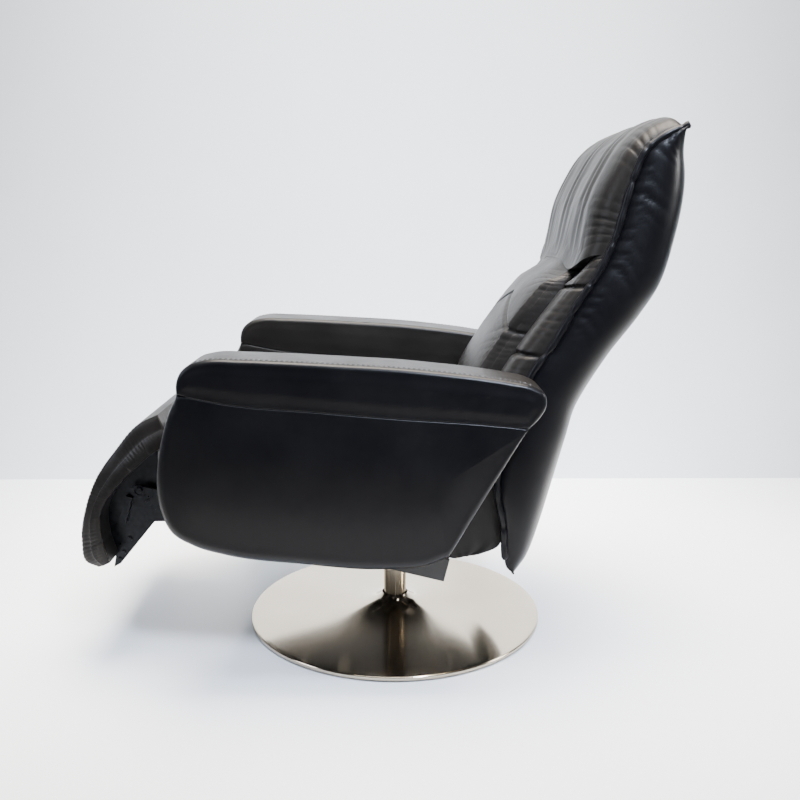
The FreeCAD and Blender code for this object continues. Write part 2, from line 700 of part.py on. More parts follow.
def make_control():
    """Control panel in the right arm's inner face, with two rockers."""
    depth = "control_depth - 1"
    blank = box("control_blank", ("-arm_inner - control_depth", "control_y", "control_z"),
                (depth, "control_length", "control_height"))
    middle = "control_z + control_height / 2"
    axis_x = "-arm_inner - 5"
    windows = []
    for index in (0, 1):
        start = "control_y + control_length / 2 + rocker_pitch * %s - rocker_length / 2" % (index - 0.5)
        windows.append(rod("rocker_window_%d" % index, (axis_x, start + " - rocker_gap", middle),
                           "rocker_radius + rocker_gap", "rocker_length + 2 * rocker_gap", "Y"))
        barrel = rod("rocker_barrel_%d" % index, (axis_x, start, middle), "rocker_radius", "rocker_length", "Y")
        flat = box("rocker_flat_%d" % index, ("-arm_inner + 2.4", start, "control_z"),
                   ("20", "rocker_length", "control_height"))
        label = ("recline_rocker", "footrest_rocker")[index]
        piece(cut("rocker_%d" % index, barrel, [flat]), label)
    piece(cut("control", blank, windows), "control_panel")


def make_legrest():
    """Linkage on both sides, its cross tubes, the brackets, the board and its pad."""
    link = "link_thickness"
    crank_out = "crank_layer + link_thickness"
    cranks = on_both_sides("crank", "crank_layer", link, lambda n, x: plate(
        n, x, link, bar_outline("drive_pivot_y", "drive_pivot_z", "knee_y", "knee_z", "link_half + 2"),
        [("drive_pivot_y", "drive_pivot_z", "journal_radius"), ("knee_y", "knee_z", "pin_radius + running_gap")]))
    crank_pins = pins("crank_pin", "tilt_layer", "crank_layer", "tilt_pin_y", "tilt_pin_z", "small_pin_radius")
    piece(together("cranks", [joined("crank_%d" % i, [cranks[i], crank_pins[i]]) for i in (0, 1)]), "front_links")
    tube = rod("torque_bar", ("-crank_layer", "drive_pivot_y", "drive_pivot_z"), "torque_tube_radius",
               "2 * crank_layer")
    journal = rod("torque_journal", ("-plate_outer", "drive_pivot_y", "drive_pivot_z"), "journal_radius",
                  "2 * plate_outer")
    lever_x = "motor_offset + rod_radius + 1"
    lever = plate("drive_lever_plate", lever_x, link,
                  bar_outline("drive_pivot_y", "drive_pivot_z", "drive_pin_y", "drive_pin_z", "10"))
    lever_pin = rod("drive_pin", ("motor_offset - yoke_thickness / 2", "drive_pin_y", "drive_pin_z"),
                    "small_pin_radius", "rod_radius + yoke_thickness / 2 + 1 + link_thickness")
    piece(joined("torque", [tube, journal, lever, lever_pin]), "torque_tube")
    followers = on_both_sides("follower", "crank_layer", link, lambda n, x: plate(
        n, x, link, bar_outline("rear_pivot_y", "drive_pivot_z", "rear_knee_y", "knee_z", "link_half"),
        [("rear_pivot_y", "drive_pivot_z", "journal_radius"), ("rear_knee_y", "knee_z", "pin_radius + running_gap")]))
    piece(together("followers", followers), "rear_links")
    rear_bar = rod("rear_bar_tube", ("-crank_layer", "rear_pivot_y", "drive_pivot_z"), "rear_tube_radius",
                   "2 * crank_layer")
    rear_journal = rod("rear_journal", ("-plate_outer", "rear_pivot_y", "drive_pivot_z"), "journal_radius",
                       "2 * plate_outer")
    piece(joined("rear_shaft", [rear_bar, rear_journal]), "rear_link_tube")
    make_carriers(crank_out)
    make_tilt_links()
    make_brackets()
    board = slab(straight(REST_LINE + list(reversed(board_rear_line())) + REST_LINE[:1], -size("board_half")),
                 2 * size("board_half"))
    piece(shaped("rest_board", board), "footrest_board")
    half = size("rest_half")
    ends = straight([REST_FACE[-1], REST_LINE[0]], -half) + straight([REST_LINE[-1], REST_FACE[0]], -half)
    pad = slab([curve(REST_FACE, -half)] + straight(REST_LINE, -half) + ends, 2 * half)
    pad = rounded_front(rounded_front(pad, half, 6), -half, 6)
    piece(shaped("rest_pad", pad), "footrest_cushion")


def board_rear_line():
    """Line of the board's rear face."""
    return offset_line(REST_LINE, -size("board_thickness"))


def make_carriers(crank_out):
    """Long bars that hang between the front and rear links, with their pivot pins and cross tube."""
    tube_y = "knee_y + carrier_tube_back"
    tube_z = "knee_z - carrier_tube_drop"
    outline = [("hang_y - 16", "hang_z + 8"), ("hang_y - 14", "hang_z - carrier_low"),
               ("knee_y", "knee_z - 16"), (tube_y + " - 10", tube_z + " - 12"),
               (tube_y + " + 12", tube_z + " - 12"), ("rear_knee_y + 15", "knee_z - 8"),
               ("rear_knee_y + 13", "knee_z + 12"), ("knee_y", "knee_z + 13"), ("hang_y", "hang_z + 18")]
    bars = on_both_sides("carrier", "carrier_layer", "link_thickness", lambda n, x: plate(
        n, x, "link_thickness", outline, [("hang_y", "hang_z", "pin_radius + running_gap")], "5"))
    front_pins = pins("knee_pin", "carrier_layer", crank_out, "knee_y", "knee_z", "pin_radius")
    rear_pins = pins("rear_knee_pin", "carrier_layer", crank_out, "rear_knee_y", "knee_z", "pin_radius")
    welded = [joined("carrier_bar_%d" % i, [bars[i], front_pins[i], rear_pins[i]]) for i in (0, 1)]
    piece(together("carriers", welded), "carrier_bars")
    piece(rod("carrier_cross", ("-carrier_layer", tube_y, tube_z), "carrier_tube_radius", "2 * carrier_layer"),
          "carrier_tube")


def make_tilt_links():
    """Links that turn the leg rest as the cranks swing, slotted at their front end."""
    outline = bar_outline("tilt_pin_y", "tilt_pin_z", "tilt_end_y - 6", "tilt_end_z", "tilt_half")
    links = on_both_sides("tilt", "tilt_layer", "link_thickness", lambda n, x: plate(
        n, x, "link_thickness", outline, [("tilt_pin_y", "tilt_pin_z", "small_pin_radius + running_gap")]))
    slots = pins("tilt_slot", "tilt_layer - 1", "crank_layer", "tilt_end_y", "tilt_end_z",
                 "small_pin_radius + 3.4")
    piece(together("tilt_pair", [cut("slotted_tilt_%d" % i, links[i], [slots[i]]) for i in (0, 1)]), "tilt_links")


def make_brackets():
    """Brackets behind the leg rest's board, with their pivot pins, guide blocks and bolts."""
    rear = ["%.3f" % v for pair in board_rear_line() for v in pair]
    rear = list(zip(rear[0::2], rear[1::2]))
    outline = rear[0:7] + [("hang_y + 10", "hang_z + 40"), ("hang_y + 15", "hang_z + 10"),
                           ("hang_y + 14", "hang_z - 14"), ("hang_y - 8", "hang_z - 40"),
                           ("hang_y - 69", "hang_z - 114"), ("hang_y - 82", "hang_z - 121")]
    plates = on_both_sides("bracket", "bracket_layer", "link_thickness",
                           lambda n, x: plate(n, x, "link_thickness", outline))
    inner = "bracket_layer + link_thickness"
    hangs = pins("hang_pin", inner, "carrier_layer + link_thickness", "hang_y", "hang_z", "pin_radius")
    ends = pins("tilt_end_pin", inner, "tilt_layer + link_thickness", "tilt_end_y", "tilt_end_z",
                "small_pin_radius")
    welded = [joined("bracket_%d" % i, [plates[i], hangs[i], ends[i]]) for i in (0, 1)]
    piece(together("brackets", welded), "footrest_brackets")
    guides = on_both_sides("guide", inner, "10", lambda n, x: plate(
        n, x, "10", [("hang_y - 37", "hang_z + 18"), ("hang_y - 52", "hang_z - 32"), ("hang_y - 64", "hang_z - 28"),
                     ("hang_y - 49", "hang_z + 22")]))
    piece(together("guides", guides), "guide_blocks")
    bolts = []
    for index, (dy, dz) in enumerate(((-49, -65), (-71, -106), (-63, -92))):
        bolts += pins("rest_bolt_%d" % index, inner, inner + " + 3.5", "hang_y + %g" % dy, "hang_z + %g" % dz, "4.5")
    piece(together("rest_bolt_set", bolts), "footrest_bolts")


def make_backrest():
    """Hinge ears, uprights, crossbars, board, cushions and covers of the backrest."""
    ear_outline = [("recline_pivot_y - ear_half", "recline_pivot_z - 8"),
                   ("recline_pivot_y", "recline_pivot_z - ear_half"),
                   ("recline_pivot_y + ear_half", "recline_pivot_z - 8"), ("238", "400"), ("258", "458"),
                   ("238", "474"), ("206", "410")]
    ears = on_both_sides("ear", "crank_layer", "link_thickness",
                         lambda n, x: plate(n, x, "link_thickness", ear_outline))
    ear_pins = pins("recline_pin", "crank_layer + link_thickness", "plate_outer", "recline_pivot_y",
                    "recline_pivot_z", "journal_radius")
    piece(together("ears", [joined("ear_%d" % i, [ears[i], ear_pins[i]]) for i in (0, 1)]), "back_hinge_ears")
    low = Vector(0, size("upright_foot_y"), size("upright_foot_z"))
    high = Vector(0, size("upright_top_y"), size("upright_top_z"))
    tubes = []
    bores = []
    for side in (1, -1):
        foot = low + Vector(side * size("upright_centre"), 0, 0)
        tubes.append(Part.makeCylinder(size("upright_radius"), (high - low).Length, foot, high - low))
        bores.append(Part.makeCylinder(size("upright_radius") - size("upright_wall"), (high - low).Length, foot,
                                       high - low))
    uprights = Part.makeCompound(tubes)
    hollow = Part.makeCompound([tube.cut(bore) for tube, bore in zip(tubes, bores)])
    piece(shaped("upright_pair", hollow), "back_uprights")
    along = (high - low).normalize()
    lower = low + along * 36
    upper = low + along * 374
    half = size("upright_centre")
    bars = []
    for centre in (lower, upper):
        bar = Part.makeCylinder(size("crossbar_radius"), 2 * half, centre - Vector(half, 0, 0), Vector(1, 0, 0))
        bars.append(bar.cut(uprights))
    bars[0] = bars[0].fuse(recline_lever(lower))
    piece(shaped("crossbar_pair", Part.makeCompound(bars)), "back_crossbars")
    bar_y = "%.4f" % upper.y
    bar_z = "%.4f" % upper.z
    hinge_outline = [(bar_y + " - 13", bar_z + " - 6"), (bar_y + " + 2", bar_z + " - 14"),
                     ("head_pivot_y - 6", "head_pivot_z - 24"), ("head_pivot_y + 6", "head_pivot_z - 8"),
                     ("head_pivot_y + 7", "head_pivot_z + 6"), ("head_pivot_y - 6", "head_pivot_z + 8"),
                     (bar_y + " + 3", bar_z + " + 14"), (bar_y + " - 12", bar_z + " + 8")]
    hinge_holes = [(bar_y, bar_z, "crossbar_radius"),
                   ("head_pivot_y", "head_pivot_z", "head_pin_radius + running_gap")]
    hinge = on_both_sides("head_hinge", "head_plate_x", "link_thickness",
                          lambda n, x: plate(n, x, "link_thickness", hinge_outline, hinge_holes))
    piece(together("head_hinge_pair", hinge), "head_hinge_plates")
    thickness = size("back_board_thickness")
    rear_line = offset_line(CUSHION_BACK, -thickness)
    inner = size("cheek_inner")
    board = slab(straight(CUSHION_BACK + list(reversed(rear_line)) + CUSHION_BACK[:1], -inner), 2 * inner)
    piece(shaped("back_panel", board), "back_board")
    make_back_cushions()
    make_back_covers()


def recline_lever(centre):
    """Lever plate under the lower crossbar with the pin that the recline rod pushes."""
    pin_y = RECLINE_PIN[0]
    pin_z = RECLINE_PIN[1]
    reach = size("rod_radius") + 1 + size("link_thickness")
    x = -size("motor_offset") - reach
    start = Vector(x, centre.y, centre.z)
    run = Vector(0, pin_y - centre.y, pin_z - centre.z)
    across = Vector(0, -run.z, run.y).normalize() * 10
    tip = start + run + run * (10 / run.Length)
    corners = [start + across, start - across, tip - across, tip + across, start + across]
    lever = Part.Face(Part.makePolygon(corners)).extrude(Vector(size("link_thickness"), 0, 0))
    pin = Part.makeCylinder(size("small_pin_radius"), reach + size("yoke_thickness") / 2,
                            Vector(x, pin_y, pin_z), Vector(1, 0, 0))
    return lever.fuse(pin)


RECLINE_PIN = (190, 375)
RECLINE_MOTOR = (-150, 335)


def make_back_cushions():
    """Middle lumbar cushion and the two bolsters beside it."""
    rounding = size("cushion_round")
    half = size("lumbar_half")
    lower = CUSHION_BACK[0]
    upper = CUSHION_BACK[-1]
    lumbar_edges = [curve(LUMBAR_FRONT, -half)] + straight(
        [LUMBAR_FRONT[-1], (upper[0], upper[1] - 0.0)], -half) + straight(list(reversed(CUSHION_BACK)), -half)
    lumbar_edges += straight([lower, LUMBAR_FRONT[0]], -half)
    lumbar = slab(lumbar_edges, 2 * half)
    piece(shaped("lumbar", lumbar), "lumbar_cushion")
    outer = size("back_half")
    start = half + size("panel_gap")
    edges = [curve(BOLSTER_FRONT, start)] + straight([BOLSTER_FRONT[-1], upper], start)
    edges += straight(list(reversed(CUSHION_BACK)), start) + straight([lower, BOLSTER_FRONT[0]], start)
    bolster = slab(edges, outer - start)
    bolster = rounded_front(bolster, outer, rounding)
    piece(shaped("bolster_l", bolster), "side_bolster_left")
    piece(shaped("bolster_r", mirrored(bolster)), "side_bolster_right")


def rounded_front(solid, x, radius):
    """Solid with its front curved edge rounded at one end."""
    rim = [e for e in solid.Edges if abs(e.CenterOfMass.x - x) < 0.01 and isinstance(e.Curve, Part.BSplineCurve)]
    return solid.makeFillet(radius, rim)


def make_back_covers():
    """Padded leather cover of the backrest: rear panel and two side panels."""
    outer = size("back_half")
    thickness = size("rear_cover_thickness")
    inside = offset_line(BACK_REAR, thickness)
    rear = slab([curve(BACK_REAR, -outer), curve(inside, -outer)]
                + straight([BACK_REAR[0], inside[0]], -outer) + straight([BACK_REAR[-1], inside[-1]], -outer),
                2 * outer)
    piece(shaped("back_rear", rear), "back_rear_cover")
    face = [curve(inside, 0)] + straight([inside[-1]] + CUSHION_BACK[::-1], 0)
    face += [curve(TAIL_FRONT, 0)] + straight([TAIL_FRONT[0], inside[0]], 0)
    cheek = slab(face, size("cheek_thickness"))
    left = cheek.translated(Vector(size("cheek_inner"), 0, 0))
    piece(shaped("back_side_l", left), "back_side_cover_left")
    piece(shaped("back_side_r", mirrored(left)), "back_side_cover_right")


def make_head():
    """Head section: arms with their hinge pins, board, cushion and covers."""
    inner = size("cheek_inner")
    outer = size("back_half")
    board_front = HEAD_SEAM[0:4]
    board_rear = offset_line(board_front, -size("head_board_thickness"))
    board = slab(straight(board_front + list(reversed(board_rear)) + board_front[:1], -inner), 2 * inner)
    piece(shaped("head_panel", board), "head_board")
    cushion = slab([curve(HEAD_FRONT, -outer)] + straight(HEAD_SEAM[::-1] + HEAD_FRONT[:1], -outer), 2 * outer)
    piece(shaped("head_pad", cushion), "head_cushion")
    thickness = size("rear_cover_thickness")
    inside = offset_line(HEAD_REAR, thickness)
    inside[-1] = (HEAD_REAR[-1][0] - thickness, HEAD_REAR[-1][1] - 6)
    rear = slab([curve(HEAD_REAR, -outer), curve(inside, -outer)]
                + straight([HEAD_REAR[0], inside[0]], -outer) + straight([HEAD_REAR[-1], inside[-1]], -outer),
                2 * outer)
    piece(shaped("head_rear", rear.cut(cushion)), "head_rear_cover")
    face = [curve(inside, 0)] + straight([inside[0]] + HEAD_SEAM + [inside[-1]], 0)
    cheek = slab(face, size("cheek_thickness")).translated(Vector(inner, 0, 0))
    piece(shaped("head_sides", Part.makeCompound([cheek, mirrored(cheek)])), "head_side_covers")
    low, high = [Vector(y, z, 0) for y, z in board_rear[2:4]]
    seats = [high * share + low * (1 - share) for share in (0.8, 0.15)]
    arm_outline = [("head_pivot_y - 14", "head_pivot_z + 4"), ("head_pivot_y", "head_pivot_z - 9"),
                   ("head_pivot_y + 9", "head_pivot_z"), ("head_pivot_y + 7", "head_pivot_z + 70")]
    arm_outline += [("%.4f" % point.x, "%.4f" % point.y) for point in seats]
    arm_x = "upright_centre - 30"
    arms = on_both_sides("head_arm", arm_x, "link_thickness",
                         lambda n, x: plate(n, x, "link_thickness", arm_outline))
    stubs = pins("head_pin", arm_x, "head_plate_x + link_thickness", "head_pivot_y", "head_pivot_z", "head_pin_radius")
    piece(together("head_frame", [joined("head_lever_%d" % i, [arms[i], stubs[i]]) for i in (0, 1)]), "head_arms")


def make_motors():
    """Both linear actuators: housings with their guide tubes, and the rods that slide in them."""
    cross_half = size("cross_side") / 2
    pin_y, pin_z = RECLINE_PIN
    start_y, start_z = RECLINE_MOTOR
    start = Vector(-size("motor_offset"), start_y, start_z)
    run = Vector(0, pin_y - start_y, pin_z - start_z)
    body, shaft = actuator(start, run, 215, size("rail_front") + cross_half, size("lever_play"), -2.15, 8)
    piece(shaped("recline_drive", body), "recline_motor")
    piece(shaped("recline_shaft", shaft), "recline_rod")
    level = size("drive_pin_z") - size("yoke_swing")
    start = Vector(size("motor_offset"), size("rail_rear") - 20, level)
    run = Vector(0, size("drive_pin_y") - start.y, 0)
    body, shaft = actuator(start, run, 240, size("rail_rear") - cross_half, size("yoke_play"), 0,
                           size("yoke_swing") + size("small_pin_radius") + 0.9)
    piece(shaped("footrest_drive", body), "footrest_motor")
    piece(shaped("footrest_shaft", shaft), "footrest_rod")


def actuator(start, run, guide_end, foot_y, play, slot_middle, slot_half):
    """Housing and rod of one actuator whose slotted rod end takes a pin at start + run."""
    forward = Vector(run).normalize()
    upward = Vector(1, 0, 0).cross(forward)
    turn = Rotation(Vector(1, 0, 0), forward, upward)
    width = size("motor_width")
    height = size("motor_height")
    length = size("motor_length")
    rod_radius = size("rod_radius")
    case = Part.makeBox(width, length, height, Vector(-width / 2, -20, -height / 2))
    along = Vector(0, 1, 0)
    guide = Part.makeCylinder(size("guide_radius"), guide_end - length + 20, Vector(0, length - 20, 0), along)
    bore = Part.makeCylinder(rod_radius + size("running_gap"), guide_end, Vector(0, length - 40, 0), along)
    housing = case.fuse(guide).cut(bore)
    eye_half = size("small_pin_radius") + play
    shaft = Part.makeCylinder(rod_radius, run.Length - eye_half - 114, Vector(0, 110, 0), along)
    thickness = size("yoke_thickness")
    eye = Part.makeBox(thickness, 2 * eye_half + 12, 2 * slot_half + 12,
                       Vector(-thickness / 2, run.Length - eye_half - 6, slot_middle - slot_half - 6))
    slot = Part.makeBox(2 * thickness, 2 * eye_half, 2 * slot_half,
                        Vector(-thickness, run.Length - eye_half, slot_middle - slot_half))
    shaft = shaft.fuse(eye).cut(slot)
    frame = Placement(start, turn)
    housing.Placement = frame
    shaft.Placement = frame
    foot = Part.makeBox(width / 2, 18, 40, Vector(start.x - width / 4, foot_y - 9, size("cross_top")))
    return housing.fuse(foot.cut(housing)), shaft


def make_supply():
    """Supply box under the rear of the seat, its hanger and the lead that hangs in a loop."""
    case = doc.addObject("Part::Box", "supply_case")
    case.Placement = Placement(Vector(), Rotation(Vector(1, 0, 0), 180 - size("supply_tilt")))
    bind(case, Length="supply_width", Width="supply_length", Height="supply_height")
    lift_y = size("supply_height") * math.sin(math.radians(size("supply_tilt")))
    lift_z = size("supply_height") * math.cos(math.radians(size("supply_tilt")))
    place(case, "supply_x", "supply_y + %.4f" % lift_y, "supply_z + %.4f" % lift_z)
    piece(case, "supply_box")
    left = "supply_x + supply_width / 2 - hanger_width / 2"
    strip = box("hanger_strip", (left, "rail_front", "cross_low - hanger_thickness"),
                ("hanger_width", "rail_rear - rail_front", "hanger_thickness"))
    posts = [box("hanger_post_%d" % i, (left, y, "supply_z + 30"),
                 ("hanger_width", "hanger_thickness", "cross_low - hanger_thickness - supply_z - 30"))
             for i, y in enumerate(("-20", "60"))]
    trimmed = [cut("trimmed_post_%d" % i, post, [case]) for i, post in enumerate(posts)]
    piece(joined("hanger", [strip] + trimmed), "supply_hanger")
    piece(shaped("lead", lead_tube()), "motor_lead")


def lead_tube():
    """Straight runs joined by tangent arcs, each as large as its two runs allow."""
    points = [Vector(*p) for p in LEAD_ROUTE]
    edges = []
    start = points[0]
    radii = []
    for before, corner, after in zip(points, points[1:], points[2:]):
        inward = (before - corner).normalize()
        outward = (after - corner).normalize()
        turn = math.pi - inward.getAngle(outward)
        shorter = min((before - corner).Length, (after - corner).Length)
        radius = 0.45 * shorter / math.tan(turn / 2)
        tangent = 0.45 * shorter
        enter = corner + inward * tangent
        leave = corner + outward * tangent
        middle_way = (inward + outward).normalize()
        centre = corner + middle_way * (radius / math.cos(turn / 2))
        middle = centre - middle_way * radius
        edges.append(Part.LineSegment(start, enter).toShape())
        edges.append(Part.Arc(enter, middle, leave).toShape())
        radii.append(round(radius, 1))
        start = leave
    edges.append(Part.LineSegment(start, points[-1]).toShape())
    path = Part.Wire(edges)
    radius = size("lead_radius")
    ring = Part.Wire([Part.Circle(points[0], (points[1] - points[0]).normalize(), radius).toShape()])
    tube = path.makePipeShell([ring], True, True)
    expected = math.pi * radius ** 2 * path.Length
    print("lead length %.1f, radii %s, volume share %.4f" % (path.Length, radii, tube.Volume / expected))
    return tube


def check_all():
    """Stop on any object that failed and on any piece that is not a valid shape."""
    for thing in doc.Objects:
        if "Invalid" in thing.State or "Error" in thing.State:
            raise RuntimeError("%s failed: %s" % (thing.Name, thing.State))
    for thing in pieces:
        if thing.Shape.isNull() or not thing.Shape.isValid() or not thing.Shape.Solids:
            raise RuntimeError("%s is not a valid solid" % thing.Label)


fill_sheet()
make_base()
make_chassis()
make_seat()
make_arms()
make_control()
make_legrest()
make_backrest()
make_head()
make_motors()
make_supply()
doc.recompute()
check_all()
os.makedirs("parts", exist_ok=True)
for thing in pieces:
    thing.Shape.exportStep("parts/%s.step" % thing.Label)
print("%d nodes written" % len(pieces))
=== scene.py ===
import json
import math
import bmesh
import bpy
import numpy as np
from mathutils import Matrix, Vector
from mathutils.bvhtree import BVHTree


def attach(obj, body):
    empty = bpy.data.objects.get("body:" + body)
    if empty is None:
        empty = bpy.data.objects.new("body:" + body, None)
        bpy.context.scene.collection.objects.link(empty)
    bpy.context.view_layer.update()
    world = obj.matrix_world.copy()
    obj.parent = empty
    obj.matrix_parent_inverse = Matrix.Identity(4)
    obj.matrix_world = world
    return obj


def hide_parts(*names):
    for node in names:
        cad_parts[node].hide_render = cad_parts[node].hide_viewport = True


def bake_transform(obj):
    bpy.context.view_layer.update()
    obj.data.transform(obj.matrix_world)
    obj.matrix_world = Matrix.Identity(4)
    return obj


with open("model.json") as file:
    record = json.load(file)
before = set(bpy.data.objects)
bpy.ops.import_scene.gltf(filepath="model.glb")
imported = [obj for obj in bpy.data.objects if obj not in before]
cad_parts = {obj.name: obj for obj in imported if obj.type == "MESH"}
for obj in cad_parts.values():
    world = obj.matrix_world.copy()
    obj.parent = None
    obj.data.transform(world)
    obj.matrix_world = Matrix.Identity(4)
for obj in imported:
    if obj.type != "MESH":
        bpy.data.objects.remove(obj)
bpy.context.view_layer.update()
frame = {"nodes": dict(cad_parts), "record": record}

bl_info = {
    "name": "Swivel recliner looks",
    "version": (1, 0, 0),
    "blender": (4, 5, 0),
    "location": "3D view > Sidebar > Recliner",
    "description": "Leather, padding, stitching and metal for the recliner's fixed frame",
    "category": "Object",
}

CAMERA_PLACE = (1.77866, 0.0, 0.82561)
CAMERA_PITCH, CAMERA_YAW = 0.2010, 0.0061
CAMERA_LENS, SENSOR_WIDTH = 39.81, 36
CLOTH_FRAMES = 14

# Half widths and X places in metres
SEAT_HALF, HEAD_HALF, SHELL_HALF, LEG_HALF = 0.2495, 0.2498, 0.2496, 0.245
LUMBAR_HALF, BOLSTER_INNER, BOLSTER_OUTER = 0.1496, 0.1504, 0.2498
ARM_INNER, ARM_OUTER = 0.255, 0.365
# Arm faces nearer the middle than these X borders get the seat leather, the lighter copy drawn as painted light.
PANEL_LIT_LEATHER_EDGE, PAD_LIT_LEATHER_EDGE = 0.3, 0.358
STITCH_ROWS = (0.349, 0.356)

# Where the bolsters are sewn across, as shares of their front line
BOLSTER_SEAMS = (0.40, 0.80)

# The spun disc in metres: the radius of its collar, of its hollow and of its rim
COLLAR_RADIUS, HOLLOW_RADIUS, RIM_RADIUS = 0.027, 0.3015, 0.3045
DISC_EDGE_HEIGHT, DISC_RISE, RIM_ROUND, RIM_LOW = 0.011, 0.035, 0.003, 0.0032

# Side outlines (y, z) in millimetres, as in the solids
SEAM_LINE = [(-357, 546), (-276, 530), (-122, 516), (9, 505), (140, 496), (222, 488)]
ARM_KEEL = [(-357, 546), (-374, 512), (-386, 475), (-396, 430), (-400, 390), (-396, 345), (-378, 304), (-340, 280),
            (-287, 264), (-161, 248), (-17, 238), (60, 246), (92, 262)]
ARM_HEEL = [(92, 262), (157, 375), (222, 488)]
PAD_TOP = [(-357, 546), (-357, 563), (-350, 581), (-334, 595), (-310, 602), (-250, 602.5), (-186, 600), (-90, 595),
           (9, 589), (80, 582), (139, 575), (190, 567), (228, 558), (246, 547), (250, 528), (240, 506), (222, 488)]
REST_FACE = [(-424, 484), (-458, 468), (-508, 414), (-543, 366), (-568, 303), (-577, 243), (-571, 206), (-549, 196)]
REST_LINE = [(-412, 446), (-443, 426), (-479, 396), (-510, 366), (-535, 335), (-548, 306), (-548, 250), (-536, 206)]
HEAD_SEAM = [(368, 764), (382, 815), (394, 867), (420, 939), (455, 966), (489, 979)]
HEAD_FRONT = [(315, 763), (323, 788), (330, 820), (343, 867), (365, 914), (398, 963), (436, 992), (472, 1001),
              (489, 979)]
CUSHION_BACK = [(205, 452), (244, 566), (276, 611), (313, 678), (366, 766)]
LUMBAR_FRONT = [(122, 458), (130, 520), (163, 580), (206, 646), (258, 708), (314, 762)]
BOLSTER_FRONT = [(150, 458), (170, 510), (204, 570), (250, 638), (298, 702), (342, 764)]
SEAT_TOP = [(-386, 432), (-387, 452), (-377, 464), (-354, 471), (-250, 469), (-148, 463), (-30, 455), (70, 448),
            (88, 440), (90, 430)]
SEAT_LOW = [(-386, 404), (-300, 403), (-148, 403), (0, 403), (90, 404)]
PANEL_SPINE = [(-288, 392), (66, 384)]
PAD_SPINE = [(-324, 573), (216, 524)]
GUSSET_FRONT = [(62, 398), (60, 330), (62, 268), (84, 219), (112, 209)]
GUSSET_REAR = [(182, 398), (196, 330), (197, 290), (192, 236), (150, 216)]
LINING_LINE = [(334, 714), (351, 742), (366, 768), (374, 800), (384, 832)]

# The cover of the back and head: where its edge is sewn, and its rear outline at the same height
SHELL_EDGE = [(220, 188), (207, 197), (200, 232), (197, 281), (184, 351), (190, 410), (205, 452), (244, 566),
              (276, 611), (313, 678), (357, 750), (376, 796), (390, 850), (404, 900), (420, 939), (455, 966),
              (490, 981)]
SHELL_REAR = [(220, 188), (228, 185), (240, 187), (255, 203), (280, 268), (306, 362), (322, 424), (352, 514),
              (393, 582), (448, 655), (489, 730), (505, 800), (514, 862), (513, 905), (506, 935), (499, 962),
              (490, 981)]

# The lead's route (x, y, z) in millimetres
LEAD_ROUTE = [(150, -46.1, 201.1), (150, -89.8, 212), (139, -132, 196), (104, -154, 170), (56, -162, 160),
              (8, -168, 172), (-30, -180, 205), (-54, -192, 250), (-66, -200, 292), (-67, -194, 329.8),
              (-67, -169.9, 332.7)]


class ReclinerSizes(bpy.types.PropertyGroup):
    """Sizes of the sewn and padded details that a user would change."""
    piping_radius: bpy.props.FloatProperty(
        name="Piping radius", description="Radius of the cord sewn into the back's edge",
        default=0.0062, unit="LENGTH")
    stitch_length: bpy.props.FloatProperty(
        name="Stitch length", description="Length of one stitch on the arm pads", default=0.0055, unit="LENGTH")
    stitch_gap: bpy.props.FloatProperty(
        name="Stitch gap", description="Gap between two stitches", default=0.0028, unit="LENGTH")
    gather_depth: bpy.props.FloatProperty(
        name="Gather depth", description="Depth of the gathers beside a seam", default=0.0045, unit="LENGTH")
    crown: bpy.props.FloatProperty(
        name="Crown", description="How far a pad's cover stands above its edges", default=0.006, unit="LENGTH")


class ReclinerColours(bpy.types.PropertyGroup):
    """Colours of the finishes, as sRGB hex values."""
    leather: bpy.props.StringProperty(name="Leather", description="Dyed leather", default="#050507")
    leather_worn: bpy.props.StringProperty(name="Leather high spots", description="Leather where it is rubbed",
                                           default="#09090b")
    # Seat leather: the same dyed hide, drawn lighter and warmer as painted light on the seating side's upward and
    # inner faces. Its two tones are mixed at random.
    leather_seat_painted_lit: bpy.props.StringProperty(name="Seat leather", description="Dyed leather on the seating side, lighter as painted light",
                                           default="#0c0b0a")
    leather_seat_painted_lit_worn: bpy.props.StringProperty(name="Seat leather high spots",
                                                description="Seating side where it is rubbed, lighter as painted light", default="#141210")
    steel: bpy.props.StringProperty(name="Stainless steel", description="Brushed disc and column",
                                    default="#b7aa95")
    wall: bpy.props.StringProperty(name="Wall", description="Plaster behind the chair", default="#dfe3e6")
    floor: bpy.props.StringProperty(name="Floor", description="Pale floor", default="#eef1f4")


def linear(hex_colour):
    """Linear RGBA of an sRGB hex colour."""
    values = [int(hex_colour[i:i + 2], 16) / 255 for i in (1, 3, 5)]
    return tuple(v / 12.92 if v <= 0.04045 else ((v + 0.055) / 1.055) ** 2.4 for v in values) + (1.0,)


def add_node(tree, kind, settings=None, inputs=None):
    """One shader node with its settings; an input's value is a number, a colour or another node's output."""
    made = tree.nodes.new(kind)
    for name, value in (settings or {}).items():
        setattr(made, name, value)
    for name, value in (inputs or {}).items():
        if isinstance(value, bpy.types.NodeSocket):
            tree.links.new(value, made.inputs[name])
        else:
            made.inputs[name].default_value = value
    return made


def new_material(name):
    """Node tree of an empty material and its Object coordinates."""
    material = bpy.data.materials.new(name)
    material.use_nodes = True
    tree = material.node_tree
    tree.nodes.clear()
    return tree, add_node(tree, "ShaderNodeTexCoord").outputs["Object"]


def finish_material(tree, inputs):
    """Principled surface wired to the output."""
    shader = add_node(tree, "ShaderNodeBsdfPrincipled", None, inputs)
    add_node(tree, "ShaderNodeOutputMaterial", None, {"Surface": shader.outputs["BSDF"]})


